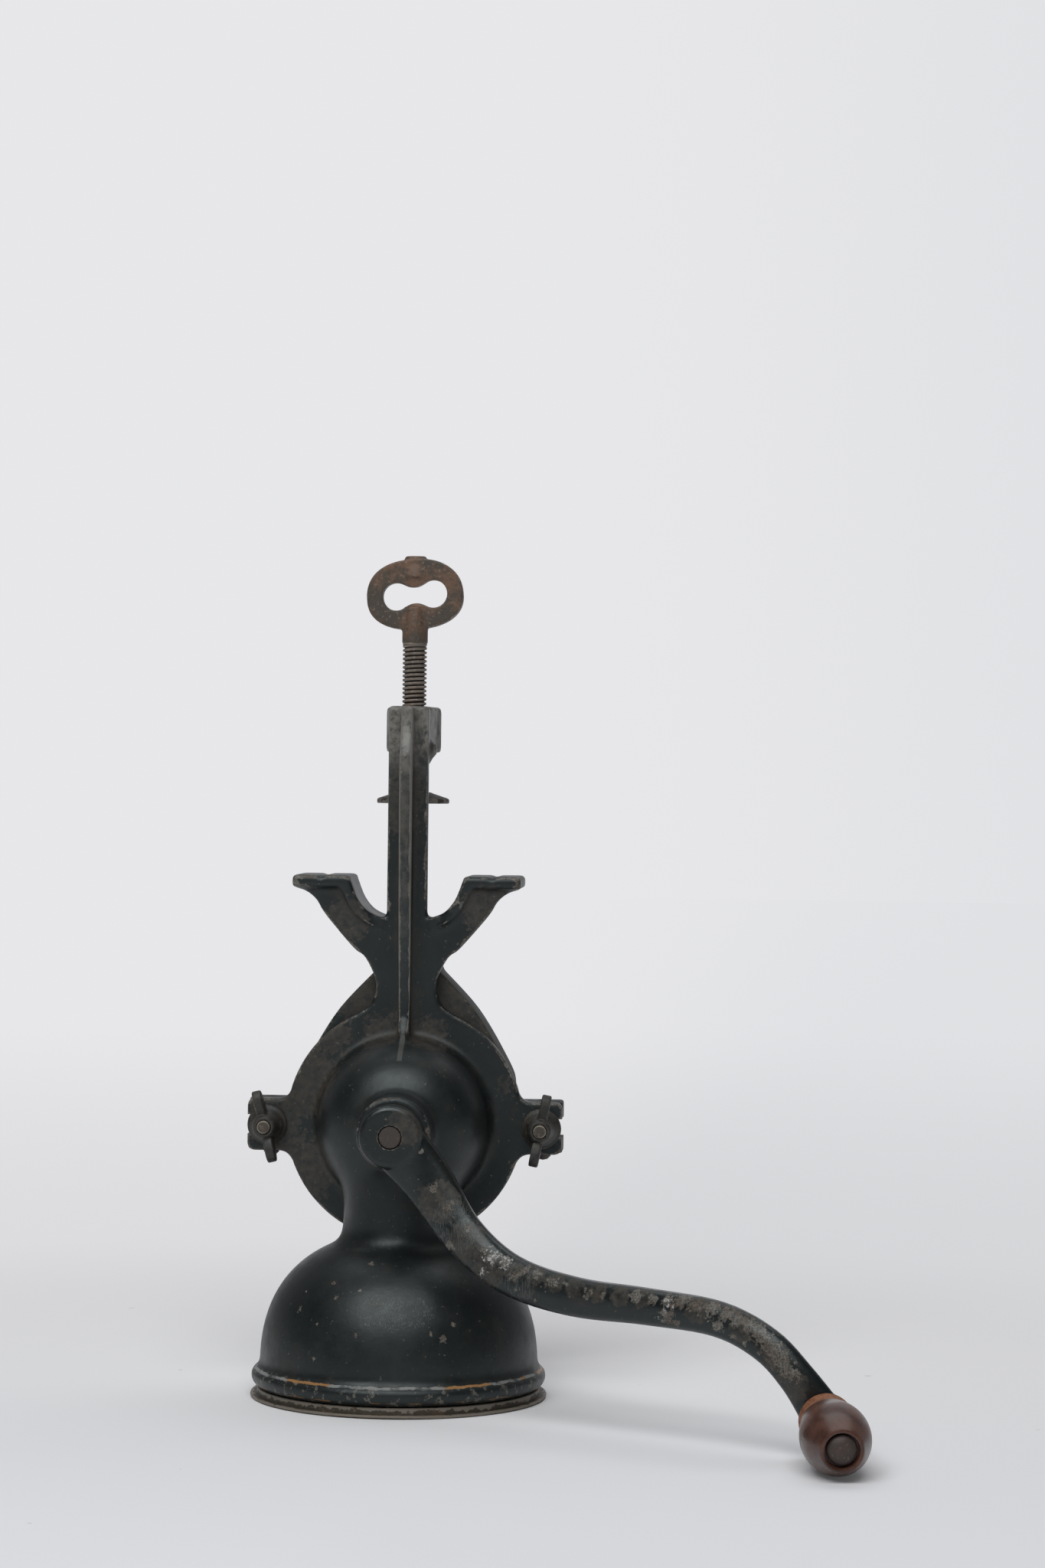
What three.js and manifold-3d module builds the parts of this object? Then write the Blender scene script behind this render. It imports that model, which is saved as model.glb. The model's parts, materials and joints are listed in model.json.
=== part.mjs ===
// Table-clamp coffee mill of painted cast iron, stood upside down on its hopper mouth.
// Millimetres, +Z up. The origin is the middle of the lid's underside, on the table.
// The crank and the wing nuts are in front, at -Y; the table goes into the jaw at +Y.
import * as THREE from 'three';
import { mergeVertices } from 'three/addons/utils/BufferGeometryUtils.js';
import Module from 'manifold-3d';

const wasm = await Module();
wasm.setup();

// Fits between pieces
const GAP = 0.3;               // between two faces that meet or slide
const TURN_GAP = 0.3;          // round a shaft or a screw that turns in its hole

// Hopper: a bell whose mouth stands on the lid
const BELL_RADIUS = 50.6;      // outside, just above the bead
const BELL_FOOT_Z = 12.2;      // where the bell leaves the bead
const BELL_SHOULDER_RADIUS = 26.5;
const BELL_SHOULDER_Z = 54;
const BEAD_RADIUS = 53.7;
const MOUTH_RADIUS = 49.4;     // inside of the mouth
const MOUTH_LIP = 1.9;         // width of the face that stands on the lid
const BELL_WALL = 3.6;
const THROAT_RADIUS = 21;
const THROAT_WALL = 3.8;
const THROAT_START_Z = 60;
const BELL_BACK_Z = 55.2;       // the shoulder is cut flat here, behind the plate

// Lid: a pressed sheet disc with a stepped ring that centres it in the mouth
const LID_RADIUS = 54;
const LID_SHEET = 1;
const LID_STEP_Z = 3.5;        // the mouth's lip stands on this step
const LID_RING_Z = 6.5;
const LID_RING_WIDTH = 4.1;

// Front plate of the casting, in the plane of the burrs
const SHAFT_Z = 98;
const PLATE_FRONT = 11;
const PLATE_THICK = 6;
const FLANGE_RADIUS = 43.7;
const EAR_REACH = 58.1;
const EAR_HALF = 9.6;
const EAR_DROP = 1.3;          // the ears lie this much below the shaft
const EAR_FILLET = 4;
const EAR_CORNER = 2.5;
const BOLT_INSET = 7.5;        // from the ear's end to its swing bolt
const SLOT_WIDTH = 7.2;

// Dome over the worm and the long bearing boss in front of it
const DOME_RADIUS = 31.4;
const DOME_FRONT = -18.6;
const BOSS_RADIUS = 13.5;
const BOSS_FRONT = -34;
const WORM_RADIUS = 15.6;
const CHAMBER_GAP = 1;
const CHAMBER_FRONT = -13;

// Neck, table pads and the clamp bar
const NECK_HALF = 11.2;
const NECK_RISE = 52;          // from the shaft to the narrowest part of the neck
const PAD_RISE = 91.1;         // from the shaft to the faces that stand on the table
const PAD_HALF_SPAN = 42.2;
const PAD_LENGTH = 20.9;
const PAD_THICK = 4.6;
const PAD_FRONT = 8;
const PAD_REAR = 39;
const PAD_NOTCH = 0.9;         // depth of the V across each pad
const BAR_HALF = 7.35;
const RIB_HALF = 2.05;
const RIB_FRONT = 1;
const JAW_HEIGHT = 45.5;       // from the pads to the underside of the screw boss
const SCREW_BOSS_HEIGHT = 17;
const SCREW_BOSS_RADIUS = 10.25;
const SCREW_Y = 34;

// Clamp screw, its key head and the pressure plate
const SCREW_RADIUS = 4.5;
const SCREW_PITCH = 1.5875;
const THREAD_DEPTH = 0.9;
const SHANK_RADIUS = 4.6;
const THREAD_LENGTH = 54.8;
const SHANK_LENGTH = 5.4;
const KEY_HALF_WIDTH = 18;
const KEY_HEIGHT = 24.8;
const KEY_THICK = 6.4;
const KEY_LOBE = 5.2;          // radius of the two ends of the finger hole
const KEY_LOBE_X = 6.95;
const KEY_WAIST = 3.05;        // half height of the hole's waist
const KEY_NUB = 3;
const KEY_SKEW = 5;            // degrees that the head was set askew on its shank
const PRESS_RADIUS = 13.5;
const PRESS_RIM = 1.7;
const PRESS_HEIGHT = 4.2;
const PRESS_TRAVEL = 26.5;     // from the pads to the plate's face, as photographed
const TIP_RADIUS = 3;
const TIP_FOOT_RADIUS = 4.2;
const TIP_FOOT = 1.1;

// Burrs, behind the plate
const BURR_RADIUS = 31.8;
const BURR_BORE = 17.4;
const BURR_THICK = 6;
const BURR_RECESS = 3;
const BURR_RUNNING_GAP = 0.4;  // between the teeth, at the finest setting
const BURR_TEETH = 20;
const TOOTH_DEPTH = 1.1;
const BURR_SCREW_CIRCLE = 25;
const BURR_SCREW_RADIUS = 1.6;
const BURR_SCREW_HEAD = 3;

// Rear casing with its chute
const CASING_RADIUS = 38.5;
const LIP_INSET = 0.5;         // casing's rim inside the plate's edge
const LIP_THICK = 4;
const CASING_DEPTH = 22.7;
const CASING_WALL = 4.2;
const FLANK_RADIUS = 44.7;     // reach of the ogive flanks that lead to the chute
const CHUTE_HALF = 11;
const CHUTE_RISE = 59;         // from the shaft to the chute's mouth
const CHUTE_FRONT_WALL = 3.2;
const REAR_BOSS_RADIUS = 11;
const REAR_BOSS_LENGTH = 12;
const INNER_BOSS_RADIUS = 8.5;
const INNER_BOSS_LENGTH = 5.5;
const REAR_EAR_THICK = 10.7;

// Shaft line
const JOURNAL_RADIUS = 5;
const CRANK_END_RADIUS = 4;
const SQUARE = 6.8;            // across the flats, through the turning burr
const TAIL_RADIUS = 4;
const WORM_CORE = 8;
const WORM_PITCH = 22;
const WORM_BLADE = 3;
const WORM_FRONT = -12;
const WORM_PIN_RADIUS = 1.5;

// Adjusting screw at the back
const ADJUST_RADIUS = 4;
const ADJUST_PITCH = 1.25;
const ADJUST_THREAD = 26;
const ADJUST_COLLAR_RADIUS = 6;
const ADJUST_COLLAR = 6;
const ADJUST_WING = 12;        // from the screw's axis to a wing's tip
const ADJUST_WING_HEIGHT = 11;
const ADJUST_WING_THICK = 4;

// Swing bolts, their pins, washers and wing nuts
const BOLT_RADIUS = 2.45;
const BOLT_EYE_RADIUS = 4.7;
const PIN_RADIUS = 1.8;
const PIN_HEAD_RADIUS = 3.2;
const PIN_HEAD = 2.8;
const WASHER_RADIUS = 7.4;
const WASHER_THICK = 2.2;
const NUT_HEIGHT = 9;
const NUT_BASE_RADIUS = 6.2;
const NUT_TOP_RADIUS = 4;
const WING_REACH = 13.4;
const WING_THICK = 4.6;
const BOLT_PROUD = 1;          // end of the bolt in front of the nut
const NUT_TURN_LEFT = -14;     // degrees, how each nut happened to stop
const NUT_TURN_RIGHT = 11;

// Crank and knob
const CRANK_RADIUS = 174.5;
const HUB_RADIUS = 11.2;
const HUB_THICK = 10;
const HUB_GAP = 2.5;           // from the bearing boss to the hub
const EYE_RADIUS = 8.6;
const EYE_THICK = 6;
const EYE_FORWARD = 69.5;      // how far the arm carries the knob in front of the hub
const KNOB_TILT = THREE.MathUtils.degToRad(6.5);
const KNOB_LENGTH = 43;
const KNOB_BASE_RADIUS = 8.2;
const KNOB_RADIUS = 11.6;
const KNOB_END_RADIUS = 6.6;
const KNOB_RECESS = 3;
const RIVET_RADIUS = 2.9;
const RIVET_HEAD_RADIUS = 5.1;
const RIVET_HEAD = 2.6;

// Places worked out from the sizes above
const PLATE_REAR = PLATE_FRONT + PLATE_THICK;
const BOLT_X = EAR_REACH - BOLT_INSET;
const EAR_Z = SHAFT_Z - EAR_DROP;
const MOUTH_Z = LID_STEP_Z + GAP;
const NECK_Z = SHAFT_Z + NECK_RISE;
const PAD_Z = SHAFT_Z + PAD_RISE;
const SCREW_BOSS_Z = PAD_Z + JAW_HEIGHT;
const SCREW_BOSS_TOP = SCREW_BOSS_Z + SCREW_BOSS_HEIGHT;
const CHAMBER_RADIUS = WORM_RADIUS + CHAMBER_GAP;
const RECESS_Y = PLATE_REAR - BURR_RECESS;
const FIXED_BURR_Y = RECESS_Y + GAP;
const TURNING_BURR_Y = FIXED_BURR_Y + BURR_THICK + BURR_RUNNING_GAP;
const CASING_FRONT = PLATE_REAR + GAP;
const CASING_REAR = CASING_FRONT + CASING_DEPTH;
const CASING_INSIDE = CASING_REAR - CASING_WALL;
const REAR_BORE = TAIL_RADIUS + TURN_GAP;
const BALL_RADIUS = TAIL_RADIUS;
const TAIL_END = TURNING_BURR_Y + BURR_THICK + 6;
const BALL_Y = TAIL_END + GAP + BALL_RADIUS;
const ADJUST_TIP = BALL_Y + BALL_RADIUS + GAP;
const HUB_REAR = BOSS_FRONT - HUB_GAP;
const HUB_FRONT = HUB_REAR - HUB_THICK;
const EYE_Y = (HUB_REAR + HUB_FRONT) / 2 - EYE_FORWARD;
const WASHER_Y = PLATE_FRONT - GAP;
const NUT_Y = WASHER_Y - WASHER_THICK - GAP;
const PIN_Y = CASING_FRONT + BOLT_EYE_RADIUS + 2;
const EAR_BOTTOM = EAR_Z - EAR_HALF;
const PRESS_Z = PAD_Z + PRESS_TRAVEL;
const BEYOND = 90;             // reach of a cutting block past the faces that it cuts
const ROUND = 32;              // facets round the large turned forms
const SMALL_ROUND = 20;

// Solids from closed three.js geometries
function solid(geometry) {
  const bare = new THREE.BufferGeometry();
  bare.setAttribute('position', geometry.getAttribute('position'));
  if (geometry.index) bare.setIndex(geometry.index);
  const merged = mergeVertices(bare, 1e-4);
  const places = merged.getAttribute('position');
  const index = merged.index.array;
  const kept = [];
  let volume = 0;
  const [a, b, c] = [new THREE.Vector3(), new THREE.Vector3(), new THREE.Vector3()];
  for (let i = 0; i < index.length; i += 3) {
    const [p, q, r] = [index[i], index[i + 1], index[i + 2]];
    if (p === q || q === r || r === p) continue;
    kept.push(p, q, r);
    a.fromBufferAttribute(places, p);
    b.fromBufferAttribute(places, q);
    c.fromBufferAttribute(places, r);
    volume += a.dot(b.cross(c));
  }
  if (volume < 0) kept.reverse();
  return new wasm.Manifold(new wasm.Mesh({
    numProp: 3,
    vertProperties: new Float32Array(places.array),
    triVerts: new Uint32Array(kept),
  }));
}

function union(parts) {
  return parts.reduce((whole, part) => whole.add(part));
}

function cut(body, holes) {
  return holes.reduce((left, hole) => left.subtract(hole), body);
}

// A turned form round Z, from points of radius and height
function turnedZ(profile, segments = ROUND) {
  const points = profile.map(([r, z]) => new THREE.Vector2(r, z));
  return solid(new THREE.LatheGeometry(points, segments).rotateX(Math.PI / 2));
}

// A turned form round an axis parallel to Y, from points of radius and depth
function turnedY(profile, segments = ROUND, x = 0, z = 0) {
  const points = profile.map(([r, y]) => new THREE.Vector2(r, y));
  return solid(new THREE.LatheGeometry(points, segments).translate(x, 0, z));
}

function rodZ(radius, low, high, x = 0, y = 0, segments = SMALL_ROUND) {
  const rod = new THREE.CylinderGeometry(radius, radius, high - low, segments);
  return solid(rod.rotateX(Math.PI / 2).translate(x, y, (low + high) / 2));
}

function rodY(radius, front, rear, x = 0, z = 0, segments = SMALL_ROUND) {
  const rod = new THREE.CylinderGeometry(radius, radius, rear - front, segments);
  return solid(rod.translate(x, (front + rear) / 2, z));
}

function block(x0, x1, y0, y1, z0, z1) {
  const box = new THREE.BoxGeometry(x1 - x0, y1 - y0, z1 - z0);
  return solid(box.translate((x0 + x1) / 2, (y0 + y1) / 2, (z0 + z1) / 2));
}

// An outline in X and Z, given as a shape, from its front face to its rear face
function plate(shape, front, rear, bevel = 0) {
  const form = new THREE.ExtrudeGeometry(shape, {
    depth: rear - front - 2 * bevel,
    bevelEnabled: bevel > 0,
    bevelThickness: bevel,
    bevelSize: bevel,
    bevelOffset: -bevel,
    bevelSegments: 1,
    curveSegments: 8,
  });
  return solid(form.rotateX(Math.PI / 2).translate(0, rear - bevel, 0));
}

// An outline in Y and Z across the given width in X
function rail(points, x0, x1) {
  const shape = new THREE.Shape(points.map(([y, z]) => new THREE.Vector2(z, y)));
  const form = new THREE.ExtrudeGeometry(shape, { depth: x1 - x0, bevelEnabled: false });
  return solid(form.rotateY(-Math.PI / 2).translate(x1, 0, 0));
}

function polygon(points) {
  return new THREE.Shape(points.map((p) => (p.isVector2 ? p : new THREE.Vector2(p[0], p[1]))));
}

function arc(radius, from, to, steps, x = 0, z = 0) {
  const curve = new THREE.EllipseCurve(x, z, radius, radius, from, to);
  return curve.getPoints(steps);
}

function bend(from, control, to, steps = 4) {
  const [a, b, c] = [from, control, to].map(([x, z]) => new THREE.Vector2(x, z));
  return new THREE.QuadraticBezierCurve(a, b, c).getPoints(steps);
}

function smooth(points, steps) {
  const spline = new THREE.SplineCurve(points.map(([x, z]) => new THREE.Vector2(x, z)));
  return spline.getPoints(steps);
}

function mirrored(half) {
  const other = half.map((p) => new THREE.Vector2(-p.x, p.y)).reverse();
  return half.concat(other.filter((p) => Math.abs(p.x) > 1e-3));
}

// A skin through rings of points that all have the same count, closed at both ends
function loft(rings) {
  const count = rings[0].length;
  const places = rings.flat().flatMap((p) => [p.x, p.y, p.z]);
  const index = [];
  for (let i = 0; i + 1 < rings.length; i += 1) {
    for (let k = 0; k < count; k += 1) {
      const [p, q] = [i * count + k, i * count + ((k + 1) % count)];
      index.push(p, q, p + count, q, q + count, p + count);
    }
  }
  const last = (rings.length - 1) * count;
  for (let k = 1; k + 1 < count; k += 1) {
    index.push(0, k + 1, k);
    index.push(last, last + k, last + k + 1);
  }
  const geometry = new THREE.BufferGeometry();
  geometry.setAttribute('position', new THREE.Float32BufferAttribute(places, 3));
  geometry.setIndex(index);
  return solid(geometry);
}

// A right-hand V thread round Z, trimmed square at both ends
function threadZ(radius, depth, pitch, low, high, segments = 8) {
  const turns = Math.ceil((high - low) / pitch) + 3;
  const rows = 2 * turns;
  const places = [];
  const at = (i, k) => (i === segments ? at(0, k + 2) : i * (rows + 3) + k);
  for (let i = 0; i < segments; i += 1) {
    const angle = (2 * Math.PI * i) / segments;
    for (let k = 0; k < rows + 3; k += 1) {
      const r = k % 2 ? radius : radius - depth;
      const z = low - 2 * pitch + (k / 2 + i / segments) * pitch;
      places.push(r * Math.cos(angle), r * Math.sin(angle), z);
    }
  }
  const bottom = places.length / 3;
  places.push(0, 0, low - 2 * pitch, 0, 0, low - 2 * pitch + (rows / 2 + 0.5) * pitch);
  const top = bottom + 1;
  const index = [];
  for (let i = 0; i < segments; i += 1) {
    for (let k = 0; k < rows; k += 1) {
      index.push(at(i, k), at(i + 1, k), at(i, k + 1));
      index.push(at(i + 1, k), at(i + 1, k + 1), at(i, k + 1));
    }
    index.push(bottom, at(i + 1, 0), at(i, 0));
    index.push(top, at(i, rows), at(i + 1, rows));
  }
  index.push(bottom, at(0, 1), at(0, 2), bottom, at(0, 0), at(0, 1));
  index.push(top, at(0, rows + 2), at(0, rows + 1), top, at(0, rows + 1), at(0, rows));
  const geometry = new THREE.BufferGeometry();
  geometry.setAttribute('position', new THREE.Float32BufferAttribute(places, 3));
  geometry.setIndex(index);
  return solid(geometry).intersect(rodZ(radius + 1, low, high, 0, 0, 8));
}

// The bell's outside from the bead up to the throat
function bellOutline() {
  const foot = new THREE.Vector2(BELL_RADIUS, BELL_FOOT_Z);
  const shoulder = new THREE.Vector2(BELL_SHOULDER_RADIUS, BELL_SHOULDER_Z);
  const rise = BELL_SHOULDER_Z - BELL_FOOT_Z;
  const side = new THREE.CubicBezierCurve(
    foot,
    new THREE.Vector2(BELL_RADIUS, BELL_FOOT_Z + 0.52 * rise),
    new THREE.Vector2(BELL_SHOULDER_RADIUS + 14.5, BELL_SHOULDER_Z - 6.7),
    shoulder,
  );
  const neck = bend(
    [BELL_SHOULDER_RADIUS, BELL_SHOULDER_Z],
    [THROAT_RADIUS + 0.5, BELL_SHOULDER_Z + 2.3],
    [THROAT_RADIUS, THROAT_START_Z],
  );
  return side.getPoints(10).concat(neck.slice(1));
}

// The same line moved inwards by the wall's thickness
function inset(points, distance) {
  return points.map((point, i) => {
    const before = points[Math.max(i - 1, 0)];
    const after = points[Math.min(i + 1, points.length - 1)];
    const along = after.clone().sub(before).normalize();
    return new THREE.Vector2(point.x - along.y * distance, point.y + along.x * distance);
  });
}

function bell() {
  const bead = [
    [MOUTH_RADIUS + MOUTH_LIP, MOUTH_Z],
    [BEAD_RADIUS - 1.2, MOUTH_Z + 0.9],
    [BEAD_RADIUS - 0.3, MOUTH_Z + 2.4],
    [BEAD_RADIUS, MOUTH_Z + 4],
    [BEAD_RADIUS - 0.5, MOUTH_Z + 5.2],
    [BELL_RADIUS + 0.6, BELL_FOOT_Z - 1.2],
  ];
  const sides = bellOutline().map((p) => [p.x, p.y]);
  const throatTop = SHAFT_Z - 8;
  const top = arc(THROAT_RADIUS, 0, Math.PI / 2, 4, 0, throatTop - THROAT_RADIUS / 2);
  const cap = top.map((p) => [p.x, throatTop - THROAT_RADIUS / 2 + (p.y - throatTop + THROAT_RADIUS / 2) / 2]);
  return turnedZ([[0, MOUTH_Z], ...bead, ...sides, ...cap.slice(0, -1), [0, throatTop]]);
}

// Everything that is hollow below the burrs: mouth, bell, throat and worm chamber
function hollow() {
  const inner = inset(bellOutline(), BELL_WALL).map((p) => [p.x, p.y]);
  const bore = THROAT_RADIUS - THROAT_WALL;
  const low = SHAFT_Z - CHAMBER_RADIUS - 2;
  const mouth = turnedZ([
    [0, MOUTH_Z - 5],
    [MOUTH_RADIUS, MOUTH_Z - 5],
    [MOUTH_RADIUS, MOUTH_Z + 5],
    ...inner.slice(0, -2),
    [bore, THROAT_START_Z],
    [bore, low],
    [0, low],
  ]);
  const throat = rodZ(bore, low - 4, SHAFT_Z, 0, 0, ROUND);
  const between = block(-BEYOND, BEYOND, CHAMBER_FRONT, PLATE_FRONT, low - 5, SHAFT_Z);
  const behind = block(-BEYOND, BEYOND, PLATE_FRONT, BEYOND, BELL_BACK_Z - 2, SHAFT_Z);
  const chamber = rodY(CHAMBER_RADIUS, CHAMBER_FRONT, PLATE_REAR, 0, SHAFT_Z, ROUND);
  return union([mouth.subtract(behind), throat.intersect(between), chamber]);
}

function dome() {
  const side = bend(
    [DOME_RADIUS, PLATE_FRONT - 3],
    [DOME_RADIUS - 0.8, DOME_FRONT + 5.6],
    [BOSS_RADIUS + 1.5, DOME_FRONT],
    7,
  ).map((p) => [p.x, p.y]);
  return turnedY([
    [0, PLATE_FRONT + 1],
    [DOME_RADIUS + 3, PLATE_FRONT + 1],
    [DOME_RADIUS + 3, PLATE_FRONT - 0.2],
    [DOME_RADIUS + 0.8, PLATE_FRONT - 1],
    ...side,
    [BOSS_RADIUS + 0.3, DOME_FRONT - 2],
    [BOSS_RADIUS, DOME_FRONT - 5],
    [BOSS_RADIUS, BOSS_FRONT + 1],
    [BOSS_RADIUS - 1, BOSS_FRONT],
    [0, BOSS_FRONT],
  ], ROUND, 0, SHAFT_Z);
}

// The ear's outline between two points of the disc's rim, below and above it
function earEnd(start, end) {
  const [low, high] = [EAR_Z - EAR_HALF, EAR_Z + EAR_HALF];
  const inner = Math.sqrt(FLANGE_RADIUS ** 2 - EAR_HALF ** 2);
  return [
    ...bend([start.x, start.y], [inner, low], [inner + EAR_FILLET, low]),
    ...bend([EAR_REACH - EAR_CORNER, low], [EAR_REACH, low], [EAR_REACH, low + EAR_CORNER]),
    ...bend([EAR_REACH, high - EAR_CORNER], [EAR_REACH, high], [EAR_REACH - EAR_CORNER, high]),
    ...bend([inner + EAR_FILLET, high], [inner, high], [end.x, end.y]),
  ];
}

function neckAndArm() {
  const join = Math.sqrt(FLANGE_RADIUS ** 2 - (NECK_HALF + 6.3) ** 2);
  return smooth([
    [NECK_HALF + 6.3, SHAFT_Z + join],
    [NECK_HALF + 1.4, NECK_Z - 8],
    [NECK_HALF, NECK_Z],
    [NECK_HALF + 4, NECK_Z + 8.8],
    [PAD_HALF_SPAN - 22.6, PAD_Z - 26.8],
    [PAD_HALF_SPAN - 12.2, PAD_Z - 14.7],
    [PAD_HALF_SPAN - 8.8, PAD_Z - 9.3],
    [PAD_HALF_SPAN - 4.8, PAD_Z - PAD_THICK - 1.5],
    [PAD_HALF_SPAN, PAD_Z - PAD_THICK],
  ], 24);
}

function armInside() {
  const toe = PAD_HALF_SPAN - PAD_LENGTH;
  return smooth([
    [toe, PAD_Z],
    [toe - 1.9, PAD_Z - 5.4],
    [toe - 3.9, PAD_Z - 9.6],
    [toe - 7.7, PAD_Z - 13.6],
    [BAR_HALF, PAD_Z - 16.2],
  ], 9);
}

function plateOutline() {
  const below = -Math.asin((EAR_HALF + EAR_DROP + EAR_FILLET) / FLANGE_RADIUS);
  const above = Math.asin((EAR_HALF - EAR_DROP + EAR_FILLET) / FLANGE_RADIUS);
  const join = Math.acos((NECK_HALF + 6.3) / FLANGE_RADIUS);
  const lower = arc(FLANGE_RADIUS, -Math.PI / 2, below, 14, 0, SHAFT_Z);
  const upper = arc(FLANGE_RADIUS, above, join, 8, 0, SHAFT_Z);
  return polygon(mirrored([
    ...lower,
    ...earEnd(lower.at(-1), upper[0]).slice(1),
    ...upper.slice(1),
    ...neckAndArm().slice(1),
    new THREE.Vector2(PAD_HALF_SPAN, PAD_Z),
    ...armInside(),
    new THREE.Vector2(BAR_HALF, SCREW_BOSS_TOP),
  ]));
}

// The pad and the curved web that carries it, on one side
function padAndWeb(side) {
  const top = armInside();
  const under = inset(top, PAD_THICK - 0.6).reverse();
  const points = [
    new THREE.Vector2(PAD_HALF_SPAN, PAD_Z),
    ...top,
    new THREE.Vector2(BAR_HALF - 2, PAD_Z - 16.4),
    new THREE.Vector2(BAR_HALF - 2, PAD_Z - 20.6),
    ...under.slice(0, -1),
    new THREE.Vector2(PAD_HALF_SPAN - PAD_LENGTH + 3, PAD_Z - PAD_THICK),
    new THREE.Vector2(PAD_HALF_SPAN, PAD_Z - PAD_THICK),
  ].map((p) => new THREE.Vector2(side * p.x, p.y));
  const middle = side * (PAD_HALF_SPAN - PAD_LENGTH / 2);
  const notch = plate(polygon([
    [middle - 1.3 * PAD_NOTCH, PAD_Z + 0.5],
    [middle, PAD_Z - PAD_NOTCH],
    [middle + 1.3 * PAD_NOTCH, PAD_Z + 0.5],
  ]), PAD_FRONT - 1, PAD_REAR + 1);
  return plate(polygon(points), PAD_FRONT, PAD_REAR).subtract(notch);
}

function clampBar() {
  const domeTop = SHAFT_Z + DOME_RADIUS;
  const rib = rail([
    [RIB_FRONT, SCREW_BOSS_TOP],
    [RIB_FRONT + 0.5, PAD_Z - 9],
    [RIB_FRONT + 4, NECK_Z],
    [RIB_FRONT + 3.6, domeTop + 8],
    [RIB_FRONT + 0.5, domeTop + 1.6],
    [RIB_FRONT - 4.5, domeTop - 2.6],
    [RIB_FRONT - 10.5, domeTop - 6.8],
    [RIB_FRONT - 8, domeTop - 8.5],
    [PLATE_FRONT + 1, domeTop - 7],
    [PLATE_FRONT + 1, SCREW_BOSS_TOP],
  ], -RIB_HALF, RIB_HALF);
  const boss = turnedZ([
    [0, SCREW_BOSS_Z],
    [SCREW_BOSS_RADIUS - 0.6, SCREW_BOSS_Z],
    [SCREW_BOSS_RADIUS, SCREW_BOSS_Z + 0.6],
    [SCREW_BOSS_RADIUS, SCREW_BOSS_TOP - 1],
    [SCREW_BOSS_RADIUS - 1, SCREW_BOSS_TOP],
    [0, SCREW_BOSS_TOP],
  ], 32).translate([0, SCREW_Y, 0]);
  const bridge = rail([
    [PLATE_REAR - 1, SCREW_BOSS_TOP],
    [PLATE_REAR - 1, SCREW_BOSS_Z - 5],
    [PLATE_REAR + 1, SCREW_BOSS_Z - 2],
    [PLATE_REAR + 4, SCREW_BOSS_Z],
    [SCREW_Y, SCREW_BOSS_Z],
    [SCREW_Y, SCREW_BOSS_TOP],
  ], -BAR_HALF, BAR_HALF);
  return union([rib, boss, bridge]);
}

function earSlot(side, front, rear, inner) {
  const [x0, x1] = side > 0 ? [inner, EAR_REACH + 1] : [-EAR_REACH - 1, -inner];
  const half = SLOT_WIDTH / 2;
  return block(x0, x1, front, rear, EAR_Z - half, EAR_Z + half);
}

const BURR_SCREW_ANGLES = [90, 210, 330].map(THREE.MathUtils.degToRad);

function hopperCasting() {
  const behind = block(-BEYOND, BEYOND, PLATE_REAR, BEYOND, BELL_BACK_Z, SHAFT_Z);
  const body = union([
    bell().subtract(behind),
    plate(plateOutline(), PLATE_FRONT, PLATE_REAR),
    dome(),
    padAndWeb(1),
    padAndWeb(-1),
    clampBar(),
  ]);
  const screwHoles = BURR_SCREW_ANGLES.map((angle) => rodY(
    BURR_SCREW_RADIUS + TURN_GAP,
    RECESS_Y - 7.5,
    RECESS_Y + 1,
    BURR_SCREW_CIRCLE * Math.cos(angle),
    SHAFT_Z + BURR_SCREW_CIRCLE * Math.sin(angle),
    12,
  ));
  const slotInner = BOLT_X - SLOT_WIDTH / 2;
  return cut(body, [
    hollow(),
    rodY(BURR_RADIUS + GAP, RECESS_Y, PLATE_REAR + 1, 0, SHAFT_Z, ROUND),
    rodY(JOURNAL_RADIUS + TURN_GAP, BOSS_FRONT - 1, CHAMBER_FRONT + 1, 0, SHAFT_Z),
    rodZ(SHANK_RADIUS + TURN_GAP, SCREW_BOSS_Z - 1, SCREW_BOSS_TOP + 1, 0, SCREW_Y),
    earSlot(1, PLATE_FRONT - 1, PLATE_REAR + 1, slotInner),
    earSlot(-1, PLATE_FRONT - 1, PLATE_REAR + 1, slotInner),
    ...screwHoles,
  ]);
}

function hopperLid() {
  const centring = MOUTH_RADIUS - GAP - 0.2;
  const stepEdge = MOUTH_RADIUS + MOUTH_LIP;
  const inside = centring - LID_RING_WIDTH;
  return turnedZ([
    [0, 0],
    [inside - 0.6, 0],
    [inside + 0.6, LID_RING_Z - LID_SHEET],
    [centring - LID_SHEET, LID_RING_Z - LID_SHEET],
    [centring - LID_SHEET + 0.1, LID_STEP_Z - LID_SHEET],
    [stepEdge - LID_SHEET - 0.1, LID_STEP_Z - LID_SHEET],
    [stepEdge - LID_SHEET + 0.2, 0],
    [LID_RADIUS - 0.3, 0],
    [LID_RADIUS, 0.4],
    [LID_RADIUS - 0.3, LID_SHEET],
    [stepEdge + 0.3, LID_SHEET],
    [stepEdge, LID_STEP_Z],
    [centring, LID_STEP_Z],
    [centring, LID_RING_Z],
    [inside, LID_RING_Z],
    [inside - 1.4, LID_SHEET],
    [0, LID_SHEET],
  ]);
}

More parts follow.
